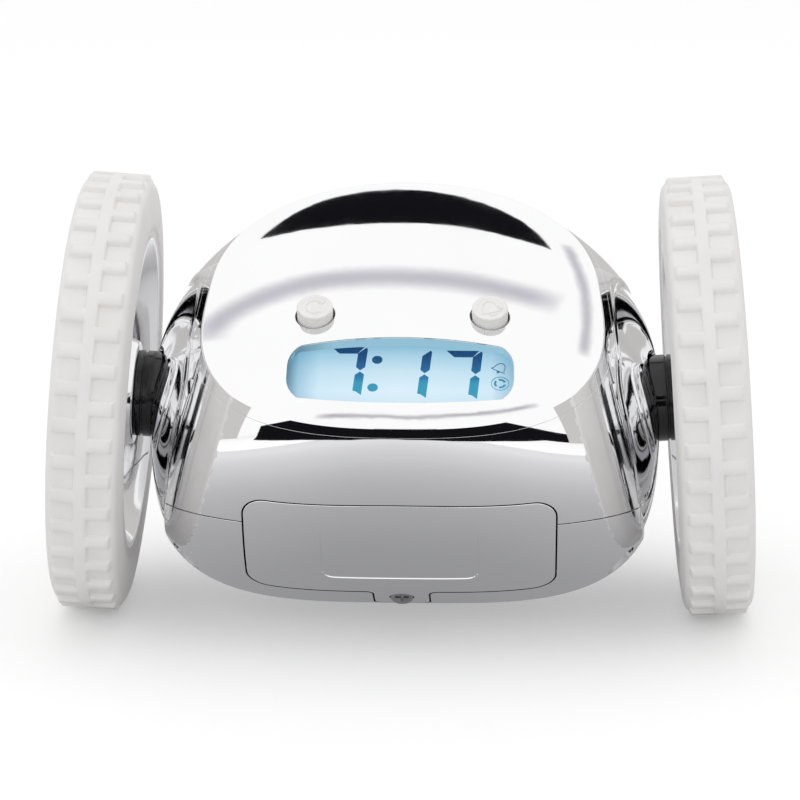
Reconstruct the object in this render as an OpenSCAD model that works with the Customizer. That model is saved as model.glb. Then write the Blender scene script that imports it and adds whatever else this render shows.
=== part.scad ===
// Runaway alarm clock: a barrel body carried between two leaning drive wheels.
// Millimetres. X runs along the axles, -Y is the front, +Z is up.
// The origin is on the floor, right below the middle of the axle line.
// "psi" is an angle about the axle line: 0 is the front, 90 the top, 180 the back.

/* [Body] */
// Radius of the barrel about the axle line, at its front and bottom
body_r = 41.3; // [40.8:0.1:41.6]
// Extra radius of the barrel at its upper back
body_crown = 2; // [0:0.1:2.2]
// Half of the barrel's length
body_half = 50.8; // [49.5:0.1:53]
// Mean squareness of the barrel's ends (2 is an ellipse)
end_square = 2.75; // [2.6:0.05:3]
// How much squarer the ends are at the bottom than at the top
end_square_swing = 1.15; // [0.8:0.05:1.2]
// Wall of the two shells
shell_wall = 1.8; // [1.4:0.1:2]
// Height of the parting seam below the axle line
seam_drop = 17; // [15:0.5:18.5]
// Radius of the round inset on each side of the body
inset_r = 25; // [22:0.5:26]
// Depth of the side insets
inset_depth = 0.9; // [0.4:0.1:1.2]
// How far the side insets lie below the axle line
inset_drop = 2.5; // [0:0.5:4]
// Distance of the insets' flat edge from the axle line, towards the face
inset_flat = 20; // [19:0.1:20.5]

/* [Face] */
// Elevation of the face's normal above the horizontal
face_tilt = 60.4; // [58:0.2:62]
// Height of the face's crown from the axle line
face_reach = 26.1; // [25.5:0.1:27]
// Rise of the domed face over its chord
face_sag = 2.75; // [2:0.05:3.5]
// Half of the chord over which that rise is measured
face_chord = 36; // [34:1:40]
// Thickness of the face panel
panel_t = 1.6; // [1.2:0.1:1.8]

/* [Display] */
// Half of the window's width
window_half_w = 21.4; // [19:0.2:21.6]
// Half of the window's height at its middle
window_half_h = 8.2; // [7:0.1:8.4]
// Radius of the window's bowed upper and lower edges
window_bow_r = 110; // [90:5:200]
// Corner radius of the window
window_corner_r = 6.6; // [4:0.1:7]
// How much less than the barrel's radius the window's middle lies down the face's slope
window_back = 21.3; // [20.9:0.1:21.7]
// Clearance round the window lens
lens_gap = 0.1; // [0.05:0.01:0.2]
// Thickness of the liquid crystal glass
lcd_t = 2; // [1.6:0.1:2.2]
// Thickness of the backlight plate
backlight_t = 2.8; // [2:0.1:3]

/* [Buttons] */
// Diameter of the two front buttons
front_button_d = 6.9; // [6:0.1:7.2]
// Distance of each front button from the middle
front_button_x = 16.7; // [15:0.1:18]
// Distance of the front buttons up the slope from the window's middle
front_button_up = 14.7; // [14.4:0.1:15.1]
// How far the front buttons stand proud of the face
front_button_rise = 2.2; // [1.6:0.1:2.6]
// Diameter of the four setting buttons on the back
rear_button_d = 7; // [6:0.1:8]
// Spacing of the setting buttons
rear_button_pitch = 13; // [11:0.5:13.5]
// How far the setting buttons stand proud of the back
rear_button_rise = 1.6; // [1.2:0.1:2]
// Elevation of the row of setting buttons above the horizontal
rear_button_tilt = 32; // [31:0.5:36]
// Travel of every button
button_travel = 0.8; // [0.5:0.1:1]
// Clearance round every button
button_gap = 0.35; // [0.25:0.05:0.45]

/* [Wheels] */
// Outer radius of the tyres
wheel_r = 43; // [42.8:0.1:46]
// Inward lean of the wheels' tops
camber = 3.8; // [2:0.1:4.5]
// Distance of a wheel's middle plane from the barrel's end
wheel_gap = 8.2; // [8:0.1:10]
// Half of the tyre's width
tyre_half_w = 7.3; // [7:0.1:8]
// Radius on which the tyre sits
rim_r = 30.7; // [28:0.1:32]
// Depth of the tread pockets
tread_depth = 1; // [0.6:0.1:1.4]
// Half of the tread's width, over the lugs
tread_half_w = 5.2; // [4.6:0.1:5.4]
// Width of the rib round the tread's middle
rib_w = 2; // [1.4:0.1:2.6]
// Number of lugs in each of the two rows
lug_count = 38; // [30:1:44]
// Width of a lug along the tread
lug_w = 2.2; // [1.6:0.1:2.8]
// Radius of the dark collar between body and wheel
collar_r = 8.5; // [7.5:0.1:9]
// Radius of the axles
axle_r = 2; // [1.8:0.1:2.3]
// Running clearance of every shaft in its bore
run_gap = 0.05; // [0.02:0.01:0.08]

/* [Gears] */
// Tooth module of the wheel gears and of the idlers' small gears
final_module = 0.8; // [0.76:0.01:0.82]
// Teeth of the gear on each axle
output_teeth = 36; // [34:1:37]
// Teeth of each idler's small gear
idler_small_teeth = 12; // [11:1:13]
// Tooth module of the motor pinions and of the idlers' large gears
first_module = 0.5; // [0.48:0.01:0.52]
// Teeth of each idler's large gear
idler_large_teeth = 36; // [34:1:38]
// Teeth of each motor pinion
pinion_teeth = 10; // [10:1:12]
// Direction from an axle to its idler, below the horizontal behind
idler_dip = 20; // [16:1:22]
// Width of the output gears
gear_w = 3; // [2.4:0.1:3.2]
// Radius of the motors
motor_r = 7.7; // [7:0.1:8]
// Length of the motors
motor_len = 20; // [16:0.5:21]

/* [Batteries] */
// Diameter of a cell
cell_d = 10.5; // [10.2:0.1:10.6]
// Length of a cell with its cap
cell_len = 44.5; // [43:0.1:45]
// Depth of the middle of the four cells under the barrel's skin at the cells' ends
cells_depth = 13.7; // [13.6:0.1:14.1]
// Dip of the direction from the axle line to the cells
cells_dip = 35; // [34:0.5:36]
// Half of the battery door's width
door_half_w = 29.6; // [27:0.2:31]
// Half of the battery door's height
door_half_h = 13.7; // [13.4:0.1:14]
// Half of the width of the door's tab
door_tab_half_w = 5.3; // [4.5:0.1:6]
// Length of the door's tab
door_tab_len = 6.6; // [6.2:0.1:7.5]
// Corner radius of the door
door_corner_r = 4.4; // [3:0.1:5]
// Gap round the door
door_gap = 0.3; // [0.2:0.05:0.4]
// Depth of the door's plain inner panel
door_recess = 0.6; // [0.3:0.1:0.8]
// Diameter of every case screw's shank
screw_d = 2; // [1.8:0.1:2.2]
// Diameter of every case screw's head
screw_head_d = 4.4; // [4:0.1:4.8]

/* [Hidden] */
$fn = 48;
big = 200;

// Wheels and axle line. A wheel stands on the two lugs of its inner row beside its lowest point.
wheel_x = body_half + wheel_gap;
foot_turn = 180 / lug_count;
foot_r = wheel_r * cos(foot_turn) + lug_w / 2 * sin(foot_turn);
axle_z = foot_r * cos(camber) + tread_half_w * sin(camber);

// Barrel
crown_at = 118;
round_end_at = 68;
around = 40;
stations = 6;
cap_rings = 3;
inner_around = 32;
inner_stations = 4;
inset_corner = 14;

// Face: the dome is part of a large ball
dome_r = (face_chord * face_chord + face_sag * face_sag) / (2 * face_sag);
lip_t = 1.2;
lip_floor = face_reach - face_sag - panel_t - 2.4;
fit_gap = 0.15;

// Display stack, measured inwards from the face right over the window's middle
window_drop = body_r - window_back;
front_button_drop = window_drop - front_button_up;
window_lean = asin(window_drop / dome_r);
window_apex = face_reach - dome_r * (1 - cos(window_lean));
window_rise = (window_half_w * window_half_w + window_half_h * window_half_h) / (2 * dome_r);
lens_sink = 0.3;
lcd_top = -panel_t - window_rise - 0.15;
lcd_margin = 0.3;
backlight_top = lcd_top - lcd_t;
board_top = backlight_top - backlight_t;
board_t = 1.6;
board_half_w = 22;
board_up = 30;
switch_t = 2.4;
plunger_r = 1.7;
plunger_room = 0.5;
switch_y = (window_drop - front_button_drop + (board_top + switch_t) * sin(window_lean)) / cos(window_lean);
strip_w = 1.6;

// Back: setting buttons, their board and the speaker
rear_skin = body_r - 1.2;
rear_board_depth = 8.6;
rear_board_reach = rear_skin - rear_board_depth;
rear_room = 0.6;
rear_board_half_h = 5.6;
rear_board_half_w = 1.5 * rear_button_pitch + 3.2;
speaker_r = 12;
speaker_t = 6;
speaker_drop = 5;
speaker_y = body_r - shell_wall - 5.2;
slot_count = 5;
slot_pitch = 3.6;

// Gear trains, in a wheel's own frame: X points outwards along the axle
plate_t = 1.5;
cover_x = -23;
output_x = cover_x - 0.5 - gear_w;
large_w = 2.4;
large_x = output_x - 0.6 - large_w;
plate_x = large_x - 0.8 - plate_t;
bulkhead_t = 2;
mesh_slack = 0.12;
final_centres = final_module * (output_teeth + idler_small_teeth) / 2 + mesh_slack;
first_centres = first_module * (idler_large_teeth + pinion_teeth) / 2 + mesh_slack;
motor_turn = 100;
idler_at = final_centres * [cos(-idler_dip), sin(-idler_dip)];
motor_at = idler_at + first_centres * [cos(motor_turn), sin(motor_turn)];
bush_r = 3.4;
pin_r = 1;
shaft_r = 1;
box_margin = 1.6;
output_reach = final_module * (output_teeth / 2 + 1) + box_margin;
idler_reach = first_module * (idler_large_teeth / 2 + 1) + box_margin;
motor_reach = motor_r + box_margin;
ear_r = 2.2;
gearbox_ears = [
    (output_reach + 1) * [cos(150), sin(150)],
    motor_at + (motor_reach + 1.3) * [cos(75), sin(75)],
    idler_at + (idler_reach + 1) * [cos(25), sin(25)]
];
ear_screw_r = 0.8;

// Tyre and hub
shoulder_h = 2.6;
lug_end = 0.55;
hub_half_w = tyre_half_w - 0.4;
rim_t = 2.6;
web_t = 2.2;
hub_seat_r = 4.2;
cap_r = 8;
hub_pockets = 12;

// Batteries and their door
cells_reach = barrel_height(cell_len / 2, -cells_dip) - cells_depth;
cell_gap = 0.2;
cell_pitch = cell_d + cell_gap;
contact_t = 0.4;
spring_len = 2.4;
tray_wall = 1.1;
bay_half_l = cell_len / 2 + contact_t + spring_len / 2 + 0.1;
bay_half_h = cell_pitch / 2 + cell_d / 2 + 0.2;
door_dip = cells_dip;
door_top = body_r + 3;
recess_half_w = door_half_w * 0.507;
recess_half_h = door_half_h * 0.555;
door_flare_r = 1.6;
door_screw_at = door_half_h + door_tab_len * 0.56;

// Case screws, from below at the four corners
case_screw_x = body_half - 8.4;
case_screw_front = -14;
case_screw_rear = 19;
case_seat = -26;
boss_r = 3;
boss_top = -9;
rib_sink = shell_wall * 0.75;

function barrel_reach(psi, off) = body_r - off + body_crown * pow((1 + cos(psi - crown_at)) / 2, 2);
function barrel_square(psi) = end_square - end_square_swing * cos(psi - round_end_at);

// Distance of the barrel's skin from the axle line, in the direction psi at x
function barrel_height(x, psi) =
    let (n = barrel_square(psi))
    barrel_reach(psi, 0) * pow(1 - pow(abs(x) / body_half, n), 1 / n);

// Outline of a side inset about the axle line: a circle, cut off flat towards the face
function rim_circle(psi, r) = -inset_drop * sin(psi) + sqrt(r * r - pow(inset_drop * cos(psi), 2));
function rim_flat(psi, r) = (inset_flat - inset_r + r) / max(cos(psi - face_tilt), 0.01);
function rim_reach(psi, r) =
    pow(pow(rim_circle(psi, r), -inset_corner) + pow(rim_flat(psi, r), -inset_corner), -1 / inset_corner);

// A point of the barrel, by its share of the way (0 middle, 1 inset rim) along the side
function side_point(k, psi, off, r, half) =
    let (n = barrel_square(psi), reach = barrel_reach(psi, off))
    let (rim = acos(pow(rim_reach(psi, r) / reach, n / 2)), a = rim * abs(k))
    [sign(k) * half * pow(sin(a), 2 / n), reach * pow(cos(a), 2 / n), psi];

// A point of the barrel's end, at a radius inside the rim
function end_point(side, share, psi, off, r, half) =
    let (n = barrel_square(psi), reach = barrel_reach(psi, off), rho = rim_reach(psi, r) * share)
    [side * half * pow(1 - pow(rho / reach, n), 1 / n), rho, psi];

function place(p) = [p[0], -p[1] * cos(p[2]), p[1] * sin(p[2])];

// Every ring of the barrel from its left end to its right end
function barrel_rings(off, step, k_max, caps, turns) =
    let (psis = [for (j = [0 : turns - 1]) 360 * j / turns], half = body_half - off, r = inset_r - off)
    concat(
        [for (c = [caps : -1 : 0]) if (step > 0 || c > 0)
            [for (p = psis) end_point(-1, 1 - c / (caps + 1), p, off + step, r, half - step)]],
        [for (k = [-k_max : k_max]) [for (p = psis) side_point(k / k_max, p, off, r, half)]],
        [for (c = [0 : caps]) if (step > 0 || c > 0)
            [for (p = psis) end_point(1, 1 - c / (caps + 1), p, off + step, r, half - step)]]
    );

// The barrel as a closed form, "off" inside the skin, its side insets "step" deep
module barrel(off = 0, step = 0, k_max = stations, caps = cap_rings, turns = around) {
    rings = barrel_rings(off, step, k_max, caps, turns);
    last = len(rings) - 1;
    half = body_half - off - step;
    points = concat([for (ring = rings) for (p = ring) place(p)], [[-half, 0, 0], [half, 0, 0]]);
    left = len(points) - 2;
    bands = [for (i = [0 : last - 1]) for (j = [0 : turns - 1])
        let (a = i * turns + j, b = i * turns + (j + 1) % turns)
        each [[a, b, b + turns], [a, b + turns, a + turns]]];
    ends = [for (j = [0 : turns - 1])
        let (k = (j + 1) % turns)
        each [[left, k, j], [left + 1, last * turns + j, last * turns + k]]];
    translate([0, 0, axle_z])
        polyhedron(points, concat(bands, ends), convexity = 4);
}

module barrel_outside() {
    barrel(0, inset_depth);
}

module barrel_inside(off = shell_wall) {
    barrel(off, 0, inner_stations, 1, inner_around);
}

// Frame of the face: Z is its normal, Y runs up the slope, the axle line is the origin
module on_face() {
    translate([0, 0, axle_z])
        rotate([90 - face_tilt, 0, 0])
            children();
}

// Frame of the display: as the face's, but square to the dome over the window
module on_display() {
    on_face()
        translate([0, -window_drop, window_apex])
            rotate([window_lean, 0, 0])
                children();
}

// The ball whose skin is the face, "off" inside the skin
module dome(off = 0) {
    on_face()
        translate([0, 0, face_reach - dome_r])
            sphere(r = dome_r - off, $fn = 320);
}

// Frame of the cells and their door: Z points out of the body, X along the cells
module on_cells() {
    translate([0, 0, axle_z])
        rotate([90 + cells_dip, 0, 0])
            children();
}

// Frame of the setting buttons: Z points out of the back
module on_back() {
    translate([0, 0, axle_z])
        rotate([rear_button_tilt - 90, 0, 0])
            children();
}

// Frame of a wheel: X points outwards along its axle, from the wheel's middle plane
module on_wheel(side) {
    mirror([side < 0 ? 1 : 0, 0, 0])
        translate([wheel_x, 0, axle_z])
            rotate([0, -camber, 0])
                children();
}

// A flat outline in the YZ plane, drawn out along X from x0
module along_x(x0, length) {
    translate([x0, 0, 0])
        rotate([90, 0, 90])
            linear_extrude(length)
                children();
}

module rod_x(x0, length, r, at = [0, 0]) {
    translate([x0, at[0], at[1]])
        rotate([0, 90, 0])
            cylinder(h = length, r = r);
}

// A rounded rectangle by its half sizes
module rounded(half_w, half_h, r) {
    hull()
        for (x = [-1, 1], y = [-1, 1])
            translate([x * (half_w - r), y * (half_h - r)])
                circle(r = r, $fn = 32);
}

// Outline of the window: a rounded rectangle with bowed long edges
module window_outline(grow = 0) {
    offset(r = grow)
        intersection() {
            rounded(window_half_w, window_half_h, window_corner_r);
            translate([0, window_half_h - window_bow_r])
                circle(r = window_bow_r, $fn = 240);
            translate([0, window_bow_r - window_half_h])
                circle(r = window_bow_r, $fn = 240);
        }
}

// Outline of the battery door, whose tab flares into it
module door_outline(grow = 0) {
    offset(r = grow - door_flare_r, $fn = 32)
        offset(r = door_flare_r, $fn = 32) {
            rounded(door_half_w, door_half_h, door_corner_r);
            translate([0, -door_half_h - door_tab_len / 2])
                rounded(door_tab_half_w, door_tab_len / 2 + 3, 2);
        }
}

// ---------------------------------------------------------------- casing

module above_seam() {
    translate([-big / 2, -big / 2, axle_z - seam_drop])
        cube([big, big, big]);
}

module below_seam() {
    translate([-big / 2, -big / 2, axle_z - seam_drop - big])
        cube([big, big, big]);
}

module case_screw_places() {
    for (x = [-1, 1], y = [case_screw_front, case_screw_rear])
        translate([x * case_screw_x, y, axle_z])
            children();
}

// Plates that carry the two gearboxes, open in front for the battery bay
module bulkheads() {
    for (side = [-1, 1])
        on_wheel(side)
            difference() {
                translate([plate_x - bulkhead_t, -4, -big / 2])
                    cube([bulkhead_t, big, big]);
                rotate([90 - face_tilt, 0, 0])
                    translate([-big / 2, -big / 2, lip_floor - fit_gap])
                        cube(big);
                rod_x(plate_x - bulkhead_t - 1, bulkhead_t + 2, motor_r + 0.5, motor_at);
                rod_x(plate_x - bulkhead_t - 1, bulkhead_t + 2, bush_r + 0.4);
                rod_x(plate_x - bulkhead_t - 1, bulkhead_t + 2, pin_r + 0.6, idler_at);
                for (ear = gearbox_ears)
                    rod_x(plate_x - bulkhead_t - 1, bulkhead_t + 2, ear_screw_r, ear);
            }
}

// Free space round the board of the setting buttons, out to the shell
module rear_board_room() {
    on_back()
        translate([0, 0, rear_board_reach - board_t / 2 - rear_room + big / 2])
            cube([2 * (rear_board_half_w + rear_room), 2 * (rear_board_half_h + rear_room), big], center = true);
}

// Webs that tie the upper shell's screw bosses to its ends
module boss_webs() {
    for (side = [-1, 1], y = [case_screw_front, case_screw_rear])
        translate([side * (case_screw_x + 5), y, axle_z + (boss_top - seam_drop) / 2])
            cube([10, 1.6, boss_top + seam_drop], center = true);
}

// The ring that the speaker's rim is glued to
module speaker_seat() {
    translate([0, speaker_y, axle_z - speaker_drop])
        rotate([-90, 0, 0])
            difference() {
                cylinder(h = 12, r = speaker_r);
                translate([0, 0, -1])
                    cylinder(h = 14, r = speaker_r - 1.6);
            }
}

// Two posts that the board of the setting buttons is glued to
module rear_board_posts() {
    on_back()
        for (x = [-1, 1])
            translate([x * rear_button_pitch, 0, rear_board_reach + board_t / 2])
                cylinder(h = body_r, r = 1.8);
}

module upper_shell() {
    color("lightgray")
        difference() {
            intersection() {
                union() {
                    difference() {
                        barrel_outside();
                        barrel_inside();
                    }
                    intersection() {
                        barrel_inside(rib_sink);
                        union() {
                            difference() {
                                bulkheads();
                                rear_board_room();
                            }
                            case_screw_places()
                                translate([0, 0, -seam_drop])
                                    cylinder(h = boss_top + seam_drop, r = boss_r);
                            boss_webs();
                            speaker_seat();
                            rear_board_posts();
                        }
                    }
                }
                above_seam();
                dome(panel_t);
            }
            case_screw_places()
                translate([0, 0, -seam_drop - 1])
                    cylinder(h = boss_top + seam_drop - 0.5, r = screw_d / 2);
            for (side = [-1, 1])
                on_wheel(side)
                    rod_x(-wheel_gap - 8, 16, collar_r + 0.6);
            on_back()
                rear_button_places()
                    translate([0, 0, rear_skin - 6])
                        cylinder(h = 12, d = rear_button_d + 2 * button_gap);
            speaker_slots();
            door_opening();
        }
}

// The opening that the battery door closes, across the seam of both shells
module door_opening() {
    on_cells()
        translate([0, 0, cells_reach])
            linear_extrude(door_top - cells_reach)
                door_outline(door_gap);
}

module speaker_slots() {
    for (i = [0 : slot_count - 1])
        translate([0, speaker_y + 8, axle_z - speaker_drop + (i - (slot_count - 1) / 2) * slot_pitch])
            rotate([90, 0, 0])
                linear_extrude(16, center = true)
                    rounded(9 - 2 * abs(i - (slot_count - 1) / 2), 0.8, 0.75);
}

module lower_shell() {
    color("lightgray")
        difference() {
            intersection() {
                union() {
                    difference() {
                        barrel_outside();
                        barrel_inside();
                    }
                    intersection() {
                        barrel_inside(rib_sink);
                        union() {
                            case_screw_places()
                                translate([0, 0, -body_r])
                                    cylinder(h = body_r - seam_drop, r = boss_r + 0.4);
                            on_cells()
                                translate([0, -door_screw_at, body_r - 9])
                                    cylinder(h = 9, r = 2.6);
                        }
                    }
                }
                below_seam();
            }
            case_screw_places()
                translate([0, 0, -body_r])
                    cylinder(h = body_r + case_seat, d = screw_head_d + 0.6);
            case_screw_places()
                translate([0, 0, case_seat - 1])
                    cylinder(h = 14, d = screw_d + 0.4);
            door_opening();
            on_cells()
                translate([0, -door_screw_at, body_r - 9])
                    cylinder(h = 12, d = screw_d);
        }
}

module face_panel() {
    color("silver")
        difference() {
            union() {
                difference() {
                    intersection() {
                        barrel_outside();
                        dome();
                    }
                    dome(panel_t);
                }
                panel_lip();
                intersection() {
                    dome(panel_t / 2);
                    on_display()
                        board_screw_places()
                            translate([0, 0, board_top])
                                cylinder(h = -board_top, r = 2.2);
                }
            }
            on_display()
                translate([0, 0, -6])
                    linear_extrude(12)
                        window_outline();
            on_face()
                front_button_places()
                    translate([0, 0, face_reach - 8])
                        cylinder(h = 16, d = front_button_d + 2 * button_gap);
            on_display()
                board_screw_places()
                    translate([0, 0, board_top - 1])
                        cylinder(h = 4, d = screw_d);
        }
}

// The lip that locates the panel inside the upper shell
module panel_lip() {
    intersection() {
        difference() {
            barrel_inside(shell_wall + fit_gap);
            barrel_inside(shell_wall + fit_gap + lip_t);
        }
        dome(panel_t - 0.2);
        difference() {
            on_face()
                translate([-big / 2, -big / 2, lip_floor])
                    cube(big);
            on_face()
                translate([0, -window_drop, 0])
                    cube([2 * window_half_w + 4, 40, big], center = true);
        }
    }
}

// ---------------------------------------------------------------- display

module display_window() {
    color("lightcyan")
        intersection() {
            dome(lens_sink);
            on_display()
                translate([0, 0, lcd_top + 0.1])
                    linear_extrude(8)
                        window_outline(-lens_gap);
        }
}

module lcd_glass() {
    color("lightblue")
        on_display()
            translate([0, 0, lcd_top - lcd_t])
                linear_extrude(lcd_t)
                    rounded(window_half_w + lcd_margin, window_half_h + lcd_margin, 3);
}

module backlight() {
    color("white")
        on_display()
            translate([0, 0, board_top])
                linear_extrude(backlight_t)
                    rounded(window_half_w - 1, window_half_h - strip_w - 0.2, 1);
}

// Two conductive rubber strips between the board and the glass
module contact_strips() {
    color("dimgray")
        on_display()
            for (y = [-1, 1])
                translate([0, y * (window_half_h - strip_w / 2), board_top + backlight_t / 2])
                    cube([2 * window_half_w - 4, strip_w - 0.2, backlight_t], center = true);
}

module board_screw_places() {
    for (x = [-1, 1], y = [0, 1])
        translate([x * (board_half_w - 4 - 6 * y), board_up - 8.5 + 12 * y, 0])
            children();
}

module main_board() {
    color("darkgreen")
        on_display()
            difference() {
                translate([0, 0, board_top - board_t])
                    linear_extrude(board_t)
                        hull() {
                            translate([0, -window_half_h + 3])
                                square([2 * board_half_w - 4, 6], center = true);
                            translate([0, board_up])
                                square([2 * board_half_w - 10, 12], center = true);
                            square([2 * board_half_w, 12], center = true);
                        }
                board_screw_places()
                    translate([0, 0, board_top - board_t - 1])
                        cylinder(h = board_t + 2, d = screw_d + 0.3);
            }
}

// The control chip under its drop of resin, a crystal and a capacitor
module board_parts() {
    color("black")
        on_display()
            translate([0, 0, board_top - board_t]) {
                translate([0, 20, -1.6])
                    cylinder(h = 1.6, r1 = 4, r2 = 6);
                translate([-9, 10, -3])
                    cylinder(h = 3, r = 1.5);
                translate([9, 10, -6])
                    cylinder(h = 6, r = 2.5);
            }
}

module front_button_places() {
    for (x = [-1, 1])
        translate([x * front_button_x, -front_button_drop, 0])
            children();
}

// Height of the dome's skin over the front buttons, and of the board below them
button_skin = sqrt(pow(dome_r, 2) - pow(front_button_x, 2) - pow(front_button_drop, 2)) + face_reach - dome_r;
button_board = window_apex + (board_top + (window_drop - front_button_drop) * sin(window_lean)) / cos(window_lean);

module front_switches() {
    color("dimgray")
        on_display()
            for (x = [-1, 1])
                translate([x * front_button_x, switch_y, board_top])
                    tact_switch();
}

module tact_switch() {
    translate([0, 0, switch_t / 4])
        cube([6, 6, switch_t / 2], center = true);
    translate([0, 0, switch_t / 2])
        cylinder(h = switch_t / 2, r = plunger_r);
}

// A front button: a crowned cap, hollowed out below for its switch's plunger
module front_button(side) {
    stop = button_board + switch_t + 0.3;
    hollow_r = plunger_r + plunger_room;
    on_face()
        translate([side * front_button_x, -front_button_drop, 0])
            rotate_extrude()
                polygon([
                    [0, stop + button_travel],
                    [hollow_r, stop + button_travel],
                    [hollow_r, button_skin - panel_t - button_travel - 1.6],
                    [front_button_d / 2 + 0.9, button_skin - panel_t - button_travel - 1.6],
                    [front_button_d / 2 + 0.9, button_skin - panel_t - button_travel - 0.6],
                    [front_button_d / 2, button_skin - panel_t - button_travel - 0.6],
                    [front_button_d / 2, button_skin + front_button_rise - 1],
                    [front_button_d / 2 - 0.35, button_skin + front_button_rise - 0.35],
                    [front_button_d / 2 - 1.1, button_skin + front_button_rise],
                    [0, button_skin + front_button_rise + 0.15]
                ]);
}

module roll_button() {
    color("whitesmoke")
        front_button(-1);
}

module alarm_button() {
    color("whitesmoke")
        front_button(1);
}

// ---------------------------------------------------------------- back

module rear_button_places() {
    for (i = [-1.5 : 1 : 1.5])
        translate([i * rear_button_pitch, 0, 0])
            children();
}

// A setting button, by its place in the row
module rear_button(i) {
    rise = barrel_height(i * rear_button_pitch, 180 - rear_button_tilt) + rear_button_rise;
    on_back()
        translate([i * rear_button_pitch, 0, 0])
            rotate_extrude()
                polygon([
                    [0, rear_board_reach + board_t / 2 + switch_t + button_travel + 0.1],
                    [1.5, rear_board_reach + board_t / 2 + switch_t + button_travel + 0.1],
                    [rear_button_d / 2, rear_board_reach + board_t / 2 + switch_t + button_travel + 1.6],
                    [rear_button_d / 2, rise - 0.6],
                    [rear_button_d / 2 - 0.6, rise],
                    [0, rise]
                ]);
}

module hour_button() {
    color("whitesmoke")
        rear_button(-1.5);
}

module minute_button() {
    color("whitesmoke")
        rear_button(-0.5);
}

module time_button() {
    color("whitesmoke")
        rear_button(0.5);
}

module snooze_button() {
    color("whitesmoke")
        rear_button(1.5);
}

module rear_board() {
    color("darkgreen")
        on_back()
            translate([0, 0, rear_board_reach])
                cube([2 * rear_board_half_w, 2 * rear_board_half_h, board_t], center = true);
}

module rear_switches() {
    color("dimgray")
        on_back()
            rear_button_places()
                translate([0, 0, rear_board_reach + board_t / 2])
                    tact_switch();
}

module speaker() {
    color("black")
        translate([0, speaker_y, axle_z - speaker_drop])
            rotate([90, 0, 0])
                rotate_extrude()
                    polygon([
                        [0, 1.2],
                        [speaker_r - 3, 0.4],
                        [speaker_r - 1, 0],
                        [speaker_r, 0],
                        [speaker_r, 2],
                        [speaker_r - 4, 3.4],
                        [speaker_r - 4, speaker_t],
                        [0, speaker_t]
                    ]);
}

// ---------------------------------------------------------------- batteries

module battery_tray() {
    color("gray")
        intersection() {
            barrel_inside(shell_wall + fit_gap);
            on_cells()
                translate([0, 0, cells_reach - bay_half_h - tray_wall])
                    difference() {
                        translate([-bay_half_l - tray_wall, -bay_half_h - tray_wall, 0])
                            cube([2 * (bay_half_l + tray_wall), 2 * (bay_half_h + tray_wall), 2 * bay_half_h]);
                        translate([-bay_half_l, -bay_half_h, tray_wall])
                            cube([2 * bay_half_l, 2 * bay_half_h, big]);
                    }
        }
}

module cell_places() {
    for (y = [-1, 1], z = [-1, 1])
        translate([0, y * cell_pitch / 2, cells_reach + z * cell_pitch / 2])
            mirror([y * z > 0 ? 1 : 0, 0, 0])
                children();
}

module battery_cells() {
    color("goldenrod")
        on_cells()
            cell_places()
                translate([-cell_len / 2 + spring_len / 2, 0, 0]) {
                    rod_x(0, cell_len - 1, cell_d / 2);
                    rod_x(cell_len - 1.2, 1.2, 1.9);
                }
}

// The spring and the plate at each end of each cell
module battery_contacts() {
    color("silver")
        on_cells()
            cell_places() {
                translate([-bay_half_l, 0, 0]) {
                    rod_x(0, contact_t, 4);
                    rod_x(contact_t, spring_len, 2.4);
                }
                rod_x(bay_half_l - contact_t, contact_t, 4);
            }
}

module battery_door() {
    color("lightgray")
        difference() {
            intersection() {
                barrel();
                on_cells()
                    translate([0, 0, cells_reach])
                        linear_extrude(door_top - cells_reach)
                            door_outline();
            }
            barrel_inside();
            difference() {
                on_cells()
                    translate([0, 0, cells_reach])
                        linear_extrude(door_top)
                            rounded(recess_half_w, recess_half_h, 2.5);
                barrel(door_recess);
            }
            on_cells()
                translate([0, -door_screw_at, cells_reach])
                    cylinder(h = door_top, d = screw_d + 0.3);
            on_cells()
                translate([0, -door_screw_at, door_head_at])
                    cylinder(h = door_top, d = screw_head_d + 0.4);
        }
}

// Height of the door screw's seat over the axle line
door_head_at = sqrt(pow(body_r, 2) - pow(door_screw_at, 2)) - 1;

module door_screw() {
    color("silver")
        on_cells()
            translate([0, -door_screw_at, door_head_at - 6])
                difference() {
                    union() {
                        cylinder(h = 6.1, d = screw_d - 0.02);
                        translate([0, 0, 6])
                            cylinder(h = 0.9, d = screw_head_d);
                    }
                    cross_slot(6.9);
                }
}

// A cross recess in a screw's head, whose top is at height "top"
module cross_slot(top) {
    for (a = [0, 90])
        translate([0, 0, top])
            rotate([0, 0, a])
                cube([2.6, 0.6, 1.2], center = true);
}

module case_screws() {
    color("silver")
        case_screw_places()
            mirror([0, 0, 1])
                difference() {
                    union() {
                        translate([0, 0, -boss_top + 2])
                            cylinder(h = -case_seat + boss_top - 1.9, d = screw_d - 0.02);
                        translate([0, 0, -case_seat])
                            cylinder(h = 1.4, d = screw_head_d);
                    }
                    cross_slot(1.4 - case_seat);
                }
}

module board_screws() {
    color("silver")
        on_display()
            board_screw_places()
                mirror([0, 0, 1])
                    difference() {
                        union() {
                            translate([0, 0, -board_top - 3])
                                cylinder(h = board_t + 3.1, d = screw_d - 0.02);
                            translate([0, 0, -board_top + board_t])
                                cylinder(h = 1.2, d = 3.6);
                        }
                        cross_slot(-board_top + board_t + 1.2);
                    }
}

// ---------------------------------------------------------------- drive

// Outline that covers one gear train, with the ears of its screws
module gearbox_outline(grow = 0) {
    hull() {
        circle(r = output_reach + grow);
        translate(idler_at)
            circle(r = idler_reach + grow);
        translate(motor_at)
            circle(r = motor_reach - 0.6 + grow);
    }
}

module ears() {
    for (ear = gearbox_ears)
        translate(ear)
            circle(r = ear_r);
}

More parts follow.
